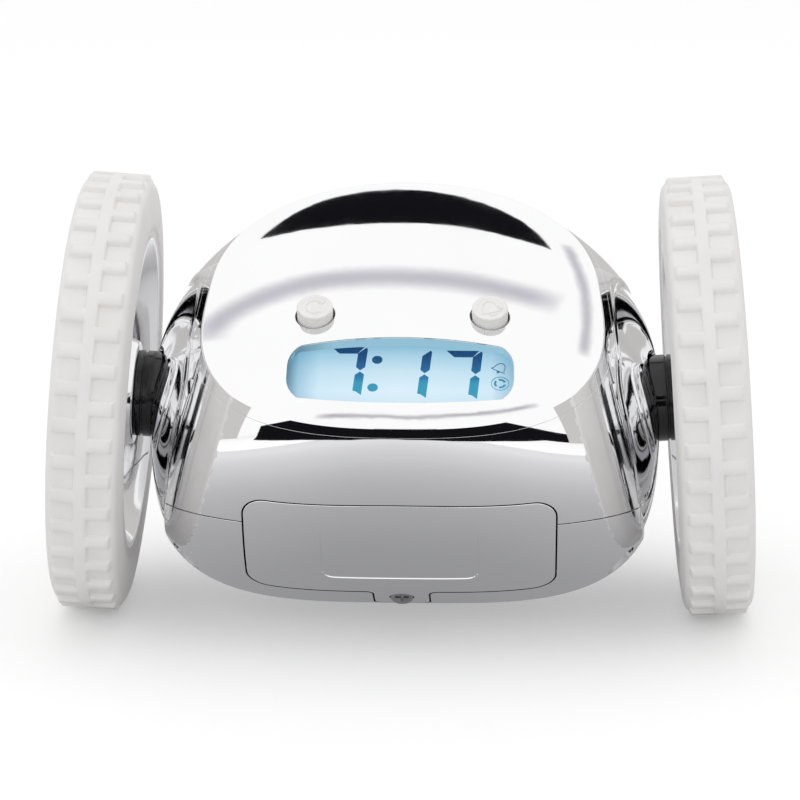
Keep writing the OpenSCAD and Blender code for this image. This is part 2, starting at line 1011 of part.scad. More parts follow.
module gearbox(side) {
    color("ivory")
        on_wheel(side)
            difference() {
                union() {
                    along_x(plate_x, plate_t) {
                        gearbox_outline();
                        ears();
                    }
                    along_x(plate_x, cover_x - plate_x)
                        difference() {
                            gearbox_outline();
                            gearbox_outline(-1.2);
                        }
                    for (ear = gearbox_ears)
                        rod_x(plate_x, cover_x - plate_x, ear_r, ear);
                }
                rod_x(plate_x - 1, plate_t + 2, bush_r);
                rod_x(plate_x - 1, plate_t + 2, pin_r, idler_at);
                rod_x(plate_x - 1, plate_t + 2, shaft_r + 0.4, motor_at);
                for (ear = gearbox_ears)
                    rod_x(plate_x - 1, cover_x - plate_x + 2, ear_screw_r, ear);
            }
}

module gearbox_left() {
    gearbox(-1);
}

module gearbox_right() {
    gearbox(1);
}

module gearbox_cover(side) {
    color("ivory")
        on_wheel(side)
            difference() {
                along_x(cover_x, plate_t) {
                    gearbox_outline();
                    ears();
                }
                rod_x(cover_x - 1, plate_t + 2, bush_r);
                rod_x(cover_x - 1, plate_t + 2, pin_r, idler_at);
                for (ear = gearbox_ears)
                    rod_x(cover_x - 1, plate_t + 2, ear_screw_r, ear);
            }
}

module gearbox_cover_left() {
    gearbox_cover(-1);
}

module gearbox_cover_right() {
    gearbox_cover(1);
}

module gearbox_screws() {
    color("silver")
        for (side = [-1, 1], ear = gearbox_ears)
            on_wheel(side)
                translate([0, ear[0], ear[1]])
                    rotate([0, 90, 0])
                        difference() {
                            union() {
                                translate([0, 0, plate_x - bulkhead_t])
                                    cylinder(h = cover_x - plate_x + plate_t + bulkhead_t, r = ear_screw_r);
                                translate([0, 0, cover_x + plate_t])
                                    cylinder(h = 1.2, r = 1.8);
                            }
                            cross_slot(cover_x + plate_t + 1.2);
                        }
}

// Brass bushes that carry an axle in both plates of its gearbox
module bushes(side) {
    color("darkgoldenrod")
        on_wheel(side)
            for (x = [plate_x, cover_x])
                difference() {
                    rod_x(x, plate_t, bush_r);
                    rod_x(x - 1, plate_t + 2, axle_r + run_gap);
                }
}

module bushes_left() {
    bushes(-1);
}

module bushes_right() {
    bushes(1);
}

module idler_pin(side) {
    color("silver")
        on_wheel(side)
            rod_x(plate_x, cover_x - plate_x + plate_t, pin_r, idler_at);
}

module idler_pin_left() {
    idler_pin(-1);
}

module idler_pin_right() {
    idler_pin(1);
}

module motor(side) {
    color("silver")
        on_wheel(side)
            difference() {
                union() {
                    rod_x(plate_x - motor_len, motor_len, motor_r, motor_at);
                    rod_x(plate_x - motor_len - 1.2, 2, 3, motor_at);
                }
                rod_x(plate_x - 9, 10, shaft_r + run_gap, motor_at);
                rod_x(plate_x - motor_len + 2, motor_len - 6, motor_r - 2.2, motor_at);
            }
}

module motor_left() {
    motor(-1);
}

module motor_right() {
    motor(1);
}

// Outline of a gear: straight-flanked teeth, one of them pointing along "phase"
module gear_outline(teeth, m, phase) {
    pitch = 360 / teeth;
    r = m * teeth / 2;
    profile = [[-0.29, -1.2], [-0.2, 0], [-0.1, 0.85], [0.1, 0.85], [0.2, 0], [0.29, -1.2]];
    polygon([for (i = [0 : teeth - 1]) for (p = profile)
        let (a = phase + pitch * (i + p[0]), reach = r + m * p[1])
        [reach * cos(a), reach * sin(a)]]);
}

module motor_pinion(side) {
    color("gold")
        on_wheel(side) {
            translate([0, motor_at[0], motor_at[1]])
                along_x(large_x, large_w)
                    gear_outline(pinion_teeth, first_module, motor_turn + 180 + 180 / pinion_teeth);
            rod_x(plate_x - 8, large_x - plate_x + large_w + 8, shaft_r, motor_at);
        }
}

module motor_pinion_left() {
    motor_pinion(-1);
}

module motor_pinion_right() {
    motor_pinion(1);
}

// An idler: a large gear driven by the pinion, a small one driving the axle
module idler_gear(side) {
    color("ivory")
        on_wheel(side)
            difference() {
                translate([0, idler_at[0], idler_at[1]]) {
                    along_x(large_x, large_w)
                        gear_outline(idler_large_teeth, first_module, motor_turn);
                    along_x(large_x + large_w - 0.1, output_x - large_x - large_w + gear_w + 0.1)
                        gear_outline(idler_small_teeth, final_module, 180 - idler_dip + 180 / idler_small_teeth);
                }
                rod_x(large_x - 1, gear_w + large_w + 3, pin_r + run_gap, idler_at);
            }
}

module idler_gear_left() {
    idler_gear(-1);
}

module idler_gear_right() {
    idler_gear(1);
}

module output_gear(side) {
    color("ivory")
        on_wheel(side)
            difference() {
                union() {
                    along_x(output_x, gear_w)
                        gear_outline(output_teeth, final_module, -idler_dip);
                    rod_x(large_x, output_x - large_x + 0.1, axle_r + 2);
                }
                rod_x(large_x - 1, gear_w + large_w + 3, axle_r);
            }
}

module output_gear_left() {
    output_gear(-1);
}

module output_gear_right() {
    output_gear(1);
}

module axle(side) {
    color("silver")
        on_wheel(side)
            difference() {
                rod_x(plate_x, -plate_x + 4, axle_r);
                rod_x(-2, 7, ear_screw_r);
            }
}

module axle_left() {
    axle(-1);
}

module axle_right() {
    axle(1);
}

// The collar that keeps a wheel off the body and turns with it
module collar(side) {
    color("black")
        on_wheel(side)
            difference() {
                union() {
                    rod_x(-wheel_gap - 3, wheel_gap + 3 - hub_half_w + 0.8, collar_r);
                    rod_x(cover_x + plate_t + 0.4, -cover_x - plate_t - wheel_gap - 3, axle_r + 2);
                }
                rod_x(cover_x, -cover_x, axle_r);
            }
}

module collar_left() {
    collar(-1);
}

module collar_right() {
    collar(1);
}

// ---------------------------------------------------------------- wheels

// Places round a wheel, the first at the bottom
module around_wheel(count, r, turn = 0) {
    for (i = [0 : count - 1])
        rotate([-90 + (i + turn) * 360 / count, 0, 0])
            translate([0, r, 0])
                children();
}

module hub(side) {
    color("silver")
        on_wheel(side)
            difference() {
                rotate([0, 90, 0])
                    rotate_extrude()
                        polygon([
                            [axle_r, -hub_half_w + 0.8],
                            [collar_r + 1.5, -hub_half_w + 0.8],
                            [collar_r + 3, -2.4],
                            [rim_r - rim_t - 4, -1.6],
                            [rim_r - rim_t, -hub_half_w + 1.4],
                            [rim_r - 1, -hub_half_w],
                            [rim_r, -hub_half_w],
                            [rim_r, hub_half_w],
                            [rim_r - 1, hub_half_w],
                            [rim_r - rim_t, hub_half_w - 1.4],
                            [rim_r - rim_t - 3, 1.2],
                            [cap_r + 4, web_t - 1],
                            [cap_r + 1.6, hub_half_w - 2.4],
                            [cap_r, hub_half_w - 2.4],
                            [cap_r, 4],
                            [axle_r, 4]
                        ]);
                around_wheel(hub_pockets, rim_r - rim_t - 5.5)
                    for (z = [-1.6, 1.6])
                        translate([0, 0, z])
                            rod_x(-3, 2, 1.5);
            }
}

module hub_left() {
    hub(-1);
}

module hub_right() {
    hub(1);
}

// Profile of the tyre under its lugs: radius across, width along Y, with round shoulders
module tyre_profile() {
    low = wheel_r - tread_depth;
    side = [
        [low, rib_w / 2],
        for (a = [90 : -15 : 0])
            [low - shoulder_h * (1 - sin(a)), tread_half_w + (tyre_half_w - tread_half_w) * cos(a)],
        [rim_r + 2, tyre_half_w - 0.1],
        [rim_r + 1.4, hub_half_w],
        [rim_r, hub_half_w]
    ];
    last = len(side) - 1;
    polygon(concat(
        [[wheel_r, -rib_w / 2], [wheel_r, rib_w / 2]],
        side,
        [for (i = [last : -1 : 0]) [side[i][0], -side[i][1]]]
    ));
}

// One lug: a bar from the rib over half of the tread, its top at the tyre's radius
module lug(side) {
    mirror([side < 0 ? 1 : 0, 0, 0])
        linear_extrude(lug_w, center = true)
            polygon([
                [rib_w / 2 - 0.1, 0],
                [tread_half_w, 0],
                [tread_half_w + lug_end, -tread_depth - 0.3],
                [rib_w / 2 - 0.1, -tread_depth - 0.3]
            ]);
}

module tyre(side) {
    color("whitesmoke")
        on_wheel(side) {
            rotate([0, 90, 0])
                rotate_extrude($fn = 96)
                    tyre_profile();
            around_wheel(lug_count, wheel_r, 0.5)
                lug(-1);
            around_wheel(lug_count, wheel_r)
                lug(1);
        }
}

module tyre_left() {
    tyre(-1);
}

module tyre_right() {
    tyre(1);
}

module hub_screw(side) {
    color("silver")
        on_wheel(side)
            rotate([0, 90, 0])
                difference() {
                    union() {
                        cylinder(h = 4.1, r = ear_screw_r);
                        translate([0, 0, 4])
                            cylinder(h = 1.2, r = axle_r + 1);
                    }
                    cross_slot(5.2);
                }
}

module hub_screw_left() {
    hub_screw(-1);
}

module hub_screw_right() {
    hub_screw(1);
}

// The cap over the hub's screw
module hub_cap(side) {
    color("silver")
        on_wheel(side)
            rotate([0, 90, 0])
                rotate_extrude()
                    polygon([
                        [0, 5.6],
                        [hub_seat_r, 5.6],
                        [hub_seat_r + 0.6, 4],
                        [cap_r - 0.1, 4],
                        [cap_r - 0.1, hub_half_w - 1.4],
                        [cap_r - 1.4, hub_half_w - 0.5],
                        [cap_r - 4, hub_half_w + 0.1],
                        [0, hub_half_w + 0.3]
                    ]);
}

module hub_cap_left() {
    hub_cap(-1);
}

module hub_cap_right() {
    hub_cap(1);
}

upper_shell();
lower_shell();
face_panel();
display_window();
lcd_glass();
backlight();
contact_strips();
main_board();
board_parts();
front_switches();
rear_board();
rear_switches();
speaker();
battery_tray();
battery_cells();
battery_contacts();
case_screws();
board_screws();
gearbox_screws();
gearbox_left();
gearbox_right();
gearbox_cover_left();
gearbox_cover_right();
bushes_left();
bushes_right();
idler_pin_left();
idler_pin_right();
motor_left();
motor_right();
motor_pinion_left();
motor_pinion_right();
idler_gear_left();
idler_gear_right();
output_gear_left();
output_gear_right();
axle_left();
axle_right();
collar_left();
collar_right();
hub_left();
hub_right();
tyre_left();
tyre_right();
hub_screw_left();
hub_screw_right();
hub_cap_left();
hub_cap_right();
roll_button();
alarm_button();
hour_button();
minute_button();
time_button();
snooze_button();
battery_door();
door_screw();
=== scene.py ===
"""Looks of the runaway alarm clock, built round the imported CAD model.

Shapes are worked out in millimetres from the middle of the axle line and turned into metres
last. X runs along the axles, -Y is the front, +Z is up. An angle psi about the axle line is 0
at the front, 90 degrees at the top and 180 at the back.
"""
import math

import bmesh
import bpy
import numpy as np
from mathutils import Matrix, Vector
from mathutils.geometry import delaunay_2d_cdt


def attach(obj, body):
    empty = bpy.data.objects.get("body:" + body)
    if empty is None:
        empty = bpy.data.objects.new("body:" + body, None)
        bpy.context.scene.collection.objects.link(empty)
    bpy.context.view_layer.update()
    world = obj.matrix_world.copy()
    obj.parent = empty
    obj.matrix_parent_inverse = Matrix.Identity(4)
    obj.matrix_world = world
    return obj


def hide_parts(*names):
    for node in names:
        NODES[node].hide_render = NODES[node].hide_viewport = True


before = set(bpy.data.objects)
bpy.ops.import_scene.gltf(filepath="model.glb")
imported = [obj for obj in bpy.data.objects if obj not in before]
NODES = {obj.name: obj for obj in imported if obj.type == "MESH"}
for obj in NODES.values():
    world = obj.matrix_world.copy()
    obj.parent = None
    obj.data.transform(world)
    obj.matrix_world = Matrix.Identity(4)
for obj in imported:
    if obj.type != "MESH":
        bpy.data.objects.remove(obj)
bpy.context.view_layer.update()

MM = 0.001

# ---- sizes, as in the CAD model

BODY_R = 41.3
BODY_CROWN = 2.0
CROWN_AT = math.radians(118)
BODY_HALF = 50.8
END_SQUARE = 2.75
END_SQUARE_SWING = 1.15
ROUND_END_AT = math.radians(68)
SHELL_WALL = 1.8
SEAM_DROP = 17.0
INSET_R = 25.0
INSET_DEPTH = 0.9
INSET_DROP = 2.5

FACE_TILT = 60.4
FACE_REACH = 26.1
FACE_SAG = 2.75
FACE_CHORD = 36.0
PANEL_T = 1.6
DOME_R = (FACE_CHORD**2 + FACE_SAG**2) / (2 * FACE_SAG)

WINDOW_HALF_W = 21.4
WINDOW_HALF_H = 8.2
WINDOW_BOW_R = 110.0
WINDOW_CORNER_R = 6.6
WINDOW_DROP = 20.0
LENS_GAP = 0.1
LENS_SINK = 0.3
WINDOW_LEAN = math.degrees(math.asin(WINDOW_DROP / DOME_R))
WINDOW_APEX = FACE_REACH - DOME_R * (1 - math.cos(math.radians(WINDOW_LEAN)))
WINDOW_RISE = (WINDOW_HALF_W**2 + WINDOW_HALF_H**2) / (2 * DOME_R)
LCD_TOP = -PANEL_T - WINDOW_RISE - 0.15

FRONT_BUTTON_D = 6.9
FRONT_BUTTON_X = 16.7
FRONT_BUTTON_DROP = 5.3
FRONT_BUTTON_RISE = 2.2
REAR_BUTTON_D = 7.0
REAR_BUTTON_PITCH = 13.0
REAR_BUTTON_RISE = 1.6
REAR_BUTTON_TILT = 32.0
BUTTON_TRAVEL = 0.8
BUTTON_GAP = 0.35

WHEEL_R = 43.0
CAMBER = 3.8
WHEEL_X = BODY_HALF + 8.2
TYRE_HALF_W = 7.3
TYRE_BULGE = 6.8
HUB_HALF_W = TYRE_HALF_W - 0.4
RIM_R = 30.7
TREAD_DEPTH = 1.0
TREAD_HALF_W = 5.2
RIB_W = 2.0
LUG_COUNT = 38
LUG_W = 2.2
COLLAR_R = 8.5
AXLE_R = 2.0
CAP_R = 8.0
FOOT_TURN = math.pi / LUG_COUNT
FOOT_R = WHEEL_R * math.cos(FOOT_TURN) + LUG_W / 2 * math.sin(FOOT_TURN)
AXLE_Z = FOOT_R * math.cos(math.radians(CAMBER)) + TREAD_HALF_W * math.sin(math.radians(CAMBER))

CELLS_REACH = 26.4
CELLS_DIP = 35.0
DOOR_HALF_W = 29.6
DOOR_HALF_H = 13.7
DOOR_TAB_HALF_W = 5.3
DOOR_TAB_LEN = 6.6
DOOR_CORNER_R = 4.4
DOOR_GAP = 0.3
DOOR_RECESS = 0.2
DOOR_EDGE_R = 0.12
DOOR_TOP_DROP = 1.0
DOOR_TOP_BOW = 2.0
DOOR_SCREW_AT = DOOR_HALF_H + DOOR_TAB_LEN * 0.56
SCREW_HEAD_D = 4.4
CASE_SCREW_X = BODY_HALF - 8.4
CASE_SCREW_YS = (-14.0, 19.0)

SPEAKER_DROP = 5.0
SLOT_COUNT = 5
SLOT_PITCH = 3.6


# ---- frames

def turn(axis, degrees):
    return np.array(Matrix.Rotation(math.radians(degrees), 4, axis))


def shift(x, y, z):
    return np.array(Matrix.Translation((x, y, z)))


def placed(points, place):
    points = np.asarray(points, float)
    return points @ place[:3, :3].T + place[:3, 3]


def unit(v):
    return v / np.maximum(np.linalg.norm(v, axis=-1, keepdims=True), 1e-12)


HERE = np.eye(4)
TO_WORLD = Matrix.Translation((0, 0, AXLE_Z * MM)) @ Matrix.Scale(MM, 4)
CORNERS = ((-1, -1), (1, -1), (1, 1), (-1, 1))
SIDES = ((-1, "left"), (1, "right"))
FACE = turn("X", 90 - FACE_TILT)
DISPLAY = FACE @ shift(0, -WINDOW_DROP, WINDOW_APEX) @ turn("X", WINDOW_LEAN)
CELLS = turn("X", 90 + CELLS_DIP)
BACK = turn("X", REAR_BUTTON_TILT - 90)


def wheel_frame(side):
    """X points outwards along the axle, from the wheel's middle plane"""
    return np.diag([side, 1.0, 1.0, 1.0]) @ shift(WHEEL_X, 0, 0) @ turn("Y", -CAMBER)


# ---- the barrel and the domed face

def barrel_value(p, off=0.0):
    """Below 0 inside the barrel, whose skin lies "off" inside the outer one, above 0 outside"""
    psi = np.arctan2(p[..., 2], -p[..., 1])
    reach = BODY_R - off + BODY_CROWN * ((1 + np.cos(psi - CROWN_AT)) / 2) ** 2
    square = END_SQUARE - END_SQUARE_SWING * np.cos(psi - ROUND_END_AT)
    along = np.abs(p[..., 0]) / (BODY_HALF - off)
    return along**square + (np.hypot(p[..., 1], p[..., 2]) / reach) ** square - 1


def barrel_normal(p):
    step = 1e-3
    slopes = [barrel_value(p + step * e) - barrel_value(p - step * e) for e in np.eye(3)]
    return unit(np.stack(slopes, -1))


def last_inside(start, way, inside, far=120.0):
    """The last point along each ray for which inside() is true, by halving"""
    low = np.zeros(way.shape[:-1])
    high = low + far
    for _ in range(46):
        middle = (low + high) / 2
        hit = inside(start + way * middle[..., None])
        low = np.where(hit, middle, low)
        high = np.where(hit, high, middle)
    return start + way * low[..., None]


def on_barrel(start, way, off=0.0):
    return last_inside(start, way, lambda p: barrel_value(p, off) < 0)


DOME_CENTRE = placed([[0, 0, FACE_REACH - DOME_R]], FACE)[0]


def under_dome(p, off):
    return np.linalg.norm(p - DOME_CENTRE, axis=-1) < DOME_R - off


def dome_height(xy):
    return FACE_REACH - DOME_R + np.sqrt(DOME_R**2 - (xy**2).sum(-1))


def height_over(place, low=10.0, off=0.0):
    """A function that gives the barrel's height over the XY plane of a frame"""
    def height(xy):
        start = placed(np.column_stack([xy, np.full(len(xy), low)]), place)
        way = np.broadcast_to(place[:3, 2], start.shape)
        return low + (on_barrel(start, way, off) - start) @ place[:3, 2]
    return height


# ---- outlines, as closed rows of points

def arc(centre, r, first, last, count):
    a = np.radians(np.linspace(first, last, count))
    return np.column_stack([centre[0] + r * np.cos(a), centre[1] + r * np.sin(a)])


def circle(r, count, centre=(0.0, 0.0)):
    return arc(centre, r, 0, 360 * (1 - 1 / count), count)


def spaced(outline, spacing):
    """The same closed outline with points about "spacing" apart, its own points kept"""
    rows = []
    for here, there in zip(outline, np.roll(outline, -1, axis=0)):
        count = max(1, int(round(np.linalg.norm(there - here) / spacing)))
        rows.append(here + (there - here) * np.linspace(0, 1, count, endpoint=False)[:, None])
    return np.vstack(rows)


def rounded(half_w, half_h, r, spacing=0.8, centre=(0.0, 0.0)):
    corners = [(1, 1, 0), (-1, 1, 90), (-1, -1, 180), (1, -1, 270)]
    arcs = [arc((centre[0] + x * (half_w - r), centre[1] + y * (half_h - r)), r, a, a + 90, 9)
            for x, y, a in corners]
    return spaced(np.vstack(arcs), spacing)


def outward(outline):
    """Unit normals of an anticlockwise outline, in its plane"""
    along = np.roll(outline, -1, axis=0) - np.roll(outline, 1, axis=0)
    return unit(np.column_stack([along[:, 1], -along[:, 0]]))


def grown(outline, by):
    return outline + outward(outline) * by


def contains(outline, points):
    """Which of the points lie inside a closed outline"""
    a, b = outline, np.roll(outline, -1, axis=0)
    x, y = points[:, :1], points[:, 1:2]
    crosses = (a[:, 1] > y) != (b[:, 1] > y)
    rise = np.where(np.abs(b[:, 1] - a[:, 1]) < 1e-12, 1e-12, b[:, 1] - a[:, 1])
    at = a[:, 0] + (y - a[:, 1]) * (b[:, 0] - a[:, 0]) / rise
    return (crosses & (x < at)).sum(1) % 2 == 1


def window_outline(grow=0.0):
    """A rounded rectangle whose long edges bow outwards"""
    bow = WINDOW_BOW_R
    ends = rounded(WINDOW_HALF_W, WINDOW_HALF_H, WINDOW_CORNER_R, 0.3)
    y_max = WINDOW_HALF_H - bow + np.sqrt(bow**2 - ends[:, 0] ** 2)
    ends[:, 1] = np.clip(ends[:, 1], -y_max, y_max)
    return grown(ends, grow)


def door_outline(grow=0.0):
    """The battery door: a rounded rectangle with a tab that flares into it"""
    w, h, r = DOOR_HALF_W, DOOR_HALF_H, DOOR_CORNER_R
    tab_w, tab_end, tab_r, flare = DOOR_TAB_HALF_W, -h - DOOR_TAB_LEN - 3, 2.0, 1.6
    outline = np.vstack([
        arc((w - r, h - r), r, 0, 90, 12),
        arc((r - w, h - r), r, 90, 180, 12),
        arc((r - w, r - h), r, 180, 270, 12),
        arc((-tab_w - flare, -h - flare), flare, 90, 0, 8),
        arc((tab_r - tab_w, tab_end + tab_r), tab_r, 180, 270, 8),
        arc((tab_w - tab_r, tab_end + tab_r), tab_r, 270, 360, 8),
        arc((tab_w + flare, -h - flare), flare, 180, 90, 8),
        arc((w - r, r - h), r, 270, 360, 12),
    ])
    outline = spaced(outline, 0.7)
    share = np.clip(outline[:, 1] / h, 0, 1)
    outline[:, 1] -= share * (DOOR_TOP_DROP + DOOR_TOP_BOW * (outline[:, 0] / w) ** 2)
    return grown(outline, grow)


# ---- meshes

def linked(name, data):
    """A new object in the scene"""
    obj = bpy.data.objects.new(name, data)
    bpy.context.scene.collection.objects.link(obj)
    return obj


def new_object(name, points, faces, place=HERE):
    """An object whose faces all look outwards. Its points stay in millimetres until finished()."""
    mesh = bpy.data.meshes.new(name)
    mesh.from_pydata(placed(points, place).tolist(), [], [tuple(map(int, f)) for f in faces])
    work = bmesh.new()
    work.from_mesh(mesh)
    bmesh.ops.recalc_face_normals(work, faces=work.faces)
    work.to_mesh(mesh)
    work.free()
    return linked(name, mesh)


def loft(rows, closed=False, start=None, end=None):
    """Quads between rings of points. Single points may close its two ends."""
    rows = [np.asarray(r, float) for r in rows]
    count = len(rows[0])
    around = np.arange(count)
    after = (around + 1) % count
    faces = []
    last = len(rows) if closed else len(rows) - 1
    for i in range(last):
        a, b = i * count, (i + 1) % len(rows) * count
        faces += np.column_stack([a + around, a + after, b + after, b + around]).tolist()
    points = np.vstack(rows)
    for tip, ring in ((start, 0), (end, len(rows) - 1)):
        if tip is not None:
            points = np.vstack([points, tip])
            a = ring * count
            faces += [[len(points) - 1, a + i, a + j] for i, j in zip(around, after)]
    return points, faces


def prism(outline, low, high):
    count = len(outline)
    ends = [np.column_stack([outline, np.full(count, z)]) for z in (low, high)]
    points, faces = loft(ends)
    return points, faces + [list(range(count)), list(range(count, 2 * count))]


def flattened(obj):
    """Applies the object's modifiers"""
    graph = bpy.context.evaluated_depsgraph_get()
    old, obj.data = obj.data, bpy.data.meshes.new_from_object(obj.evaluated_get(graph))
    obj.modifiers.clear()
    bpy.data.meshes.remove(old)


def cut(obj, tools):
    """Takes each tool, given as points and faces, out of the object"""
    for points, faces in tools:
        tool = new_object("tool", points, faces)
        change = obj.modifiers.new("cut", "BOOLEAN")
        change.solver = "EXACT"
        change.object = tool
        flattened(obj)
        bpy.data.objects.remove(tool)


def joined(obj, others):
    """Adds the other objects' meshes to obj's"""
    work = bmesh.new()
    work.from_mesh(obj.data)
    for other in others:
        work.from_mesh(other.data)
        bpy.data.objects.remove(other)
    work.to_mesh(obj.data)
    work.free()


SHARP = 32


def smooth(obj, sharp=SHARP):
    obj.data.shade_smooth()
    obj.data.set_sharp_from_angle(angle=math.radians(sharp))


def weighted(obj, sharp=SHARP):
    """Lets the large faces rule the shading, so that flats look flat beside their rounded edges"""
    smooth(obj, sharp)
    change = obj.modifiers.new("weigh", "WEIGHTED_NORMAL")
    change.keep_sharp = True
    flattened(obj)


def corner_arrays(mesh):
    """For every face corner: its vertex, its face's normal and its face"""
    vertex = np.zeros(len(mesh.loops), int)
    mesh.loops.foreach_get("vertex_index", vertex)
    sides = np.zeros(len(mesh.polygons), int)
    mesh.polygons.foreach_get("loop_total", sides)
    normals = np.zeros(len(mesh.polygons) * 3)
    mesh.polygons.foreach_get("normal", normals)
    face = np.repeat(np.arange(len(sides)), sides)
    return vertex, normals.reshape(-1, 3)[face], face


def vertex_points(mesh):
    points = np.zeros(len(mesh.vertices) * 3)
    mesh.vertices.foreach_get("co", points)
    return points.reshape(-1, 3)


ON_SKIN = 4e-4
SKIN_AGREES = 0.995
FLOOR_LEVEL = -0.09
FLOOR_AGREES = 0.9985


def barrel_shading(obj):
    """Smooth shading that follows the barrel's formula on its skin and on the insets' floors"""
    smooth(obj)
    points = vertex_points(obj.data)
    vertex, flat, _ = corner_arrays(obj.data)
    true = barrel_normal(points)
    value = barrel_value(points)[vertex]
    match = (true[vertex] * flat).sum(1)
    on_floor = (value < 0) & (value > FLOOR_LEVEL) & (match > FLOOR_AGREES)
    use = (np.abs(value) < ON_SKIN) & (match > SKIN_AGREES) | on_floor
    obj.data.normals_split_custom_set(np.where(use[:, None], true[vertex], 0.0).tolist())


# ---- patches: plates cut from a curved skin

ROUND_STEPS = 5


def rim(outline, width, drop, hole=False):
    """Rings that round a plate's edge off: each is an outline, a drop, and its shading's tilt"""
    into = outward(outline) * (1.0 if hole else -1.0)
    rings = []
    for t in np.radians(np.linspace(0, 90, ROUND_STEPS)):
        ring = outline + into * width * (1 - math.cos(t))
        lean = math.atan2(drop * math.cos(t), width * math.sin(t))
        rings.append((ring, drop * (1 - math.sin(t)), lean, -into))
    return rings


def grid_points(outline, spacing):
    """Points in staggered rows over an outline's box"""
    low, high = outline.min(0), outline.max(0)
    rows = []
    for i, y in enumerate(np.arange(low[1], high[1], spacing * 0.866)):
        xs = np.arange(low[0] + (i % 2) * spacing / 2, high[0], spacing)
        rows.append(np.column_stack([xs, np.full(len(xs), y)]))
    return np.vstack(rows)


def clear_of(points, outlines, gap):
    keep = np.ones(len(points), bool)
    for outline in outlines:
        for start in range(0, len(points), 400):
            part = points[start:start + 400]
            near = np.linalg.norm(part[:, None] - outline[None], axis=2).min(1) < gap
            keep[start:start + 400] &= ~near
    return points[keep]


def patch(name, height, under, rims, spacing, steps=(), place=HERE, wall=None):
    """A plate whose top is height() over the XY plane of a frame and whose bottom is under().
    The first rim is its outline, the others its holes. A step is a sunk outline, its depth and
    the width of its slope. wall() gives the normals that shade the plate's outer wall."""
    outer = rims[0][0][0]
    holes = [r[0][0] for r in rims[1:]]
    flat, drops, leans, ways, levels, edges = [], [], [], [], [], []

    def add_points(points, drop, lean=0.0, way=(0.0, 0.0), level=0.0):
        flat.append(points)
        for rows, value in ((drops, drop), (leans, lean), (levels, level)):
            rows.append(np.broadcast_to(value, len(points)))
        ways.append(np.broadcast_to(way, (len(points), 2)))

    def add_ring(ring, *values, **named):
        first = sum(map(len, flat))
        edges.extend((first + i, first + (i + 1) % len(ring)) for i in range(len(ring)))
        add_points(ring, *values, **named)

    for rings in rims:
        for ring in rings:
            add_ring(*ring)
    for outline, depth, slope in steps:
        for ring, level in ((outline, 0), (grown(outline, -slope), 1)):
            add_ring(ring, depth * level, level=level)
    inner = grid_points(outer, spacing)
    inner = inner[contains(rims[0][-1][0], inner)]
    for rings in rims[1:]:
        inner = inner[~contains(rings[-1][0], inner)]
    inner = clear_of(inner, flat, spacing * 0.45)
    sunk = np.zeros(len(inner))
    for outline, depth, _ in steps:
        sunk[contains(outline, inner)] = depth
    add_points(inner, sunk, level=(sunk > 0).astype(float))
    xy, drop, lean, level = np.vstack(flat), *map(np.concatenate, (drops, leans, levels))
    way = np.vstack(ways)
    made = delaunay_2d_cdt([Vector(p) for p in xy], edges, [], 0, 1e-6, True)
    source = np.array([o[0] for o in made[3]])
    triangles = source[np.array(made[2])]
    middles = xy[triangles].mean(1)
    keep = contains(outer, middles)
    for hole in holes:
        keep &= ~contains(hole, middles)
    triangles = triangles[keep]

    top = np.column_stack([xy, height(xy) - drop])
    count = len(xy)
    faces = triangles.tolist() + (triangles[:, ::-1] + count).tolist()
    first = 0
    for rings in rims:
        around = len(rings[0][0])
        ids = first + np.arange(around)
        after = np.roll(ids, -1)
        faces += np.column_stack([ids, after, after + count, ids + count]).tolist()
        first += sum(len(r[0]) for r in rings)
    obj = new_object(name, np.vstack([top, under(xy)]), faces, place)

    step = 1e-2
    slope_x = (height(xy + [step, 0]) - height(xy - [step, 0])) / (2 * step)
    slope_y = (height(xy + [0, step]) - height(xy - [0, step])) / (2 * step)
    up = unit(np.column_stack([-slope_x, -slope_y, np.ones(count)]))
    side = np.column_stack([way, np.zeros(count)])
    shade = unit(up * np.cos(lean)[:, None] + side * np.sin(lean)[:, None]) @ place[:3, :3].T
    smooth(obj)
    vertex, _, face = corner_arrays(obj.data)
    even = np.ptp(level[triangles], axis=1) < 0.5
    on_top = np.zeros(len(obj.data.polygons), bool)
    on_top[:len(triangles)] = even
    shade = np.vstack([shade, np.zeros_like(shade)])
    shade = np.where(on_top[face][:, None], shade[vertex], 0.0)
    if wall:
        first = 2 * len(triangles)
        on_wall = (face >= first) & (face < first + len(outer))
        shade = np.where(on_wall[:, None], wall(vertex_points(obj.data))[vertex], shade)
    obj.data.normals_split_custom_set(shade.tolist())
    return obj


# ---- finishing a piece

def finished(obj, body, material, replaces=()):
    """Turns a piece into metres, and gives it its body, its finish and the nodes it stands for"""
    shaded = obj.data.has_custom_normals
    normals = np.zeros(len(obj.data.loops) * 3)
    obj.data.corner_normals.foreach_get("vector", normals)
    obj.data.transform(TO_WORLD)
    if shaded:
        obj.data.normals_split_custom_set(normals.reshape(-1, 3).tolist())
    obj.data.materials.clear()
    obj.data.materials.append(material)
    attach(obj, body)
    if replaces:
        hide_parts(*replaces)
    return obj


# ---- materials

def add(tree, kind, *firsts, **named):
    """A node whose inputs take values, or links from outputs: the first ones in their order,
    others by name, with _ for a space"""
    node = tree.nodes.new("ShaderNode" + kind)
    wanted = {name.replace("_", " "): value for name, value in named.items()}
    for socket, value in [*enumerate(firsts), *wanted.items()]:
        if isinstance(value, bpy.types.NodeSocket):
            tree.links.new(value, node.inputs[socket])
        else:
            node.inputs[socket].default_value = value
    return node


def new_material(name):
    material = bpy.data.materials.new(name)
    material.use_nodes = True
    material.node_tree.nodes.clear()
    return material, material.node_tree


NOISE_LOW = 0.3
NOISE_HIGH = 0.7


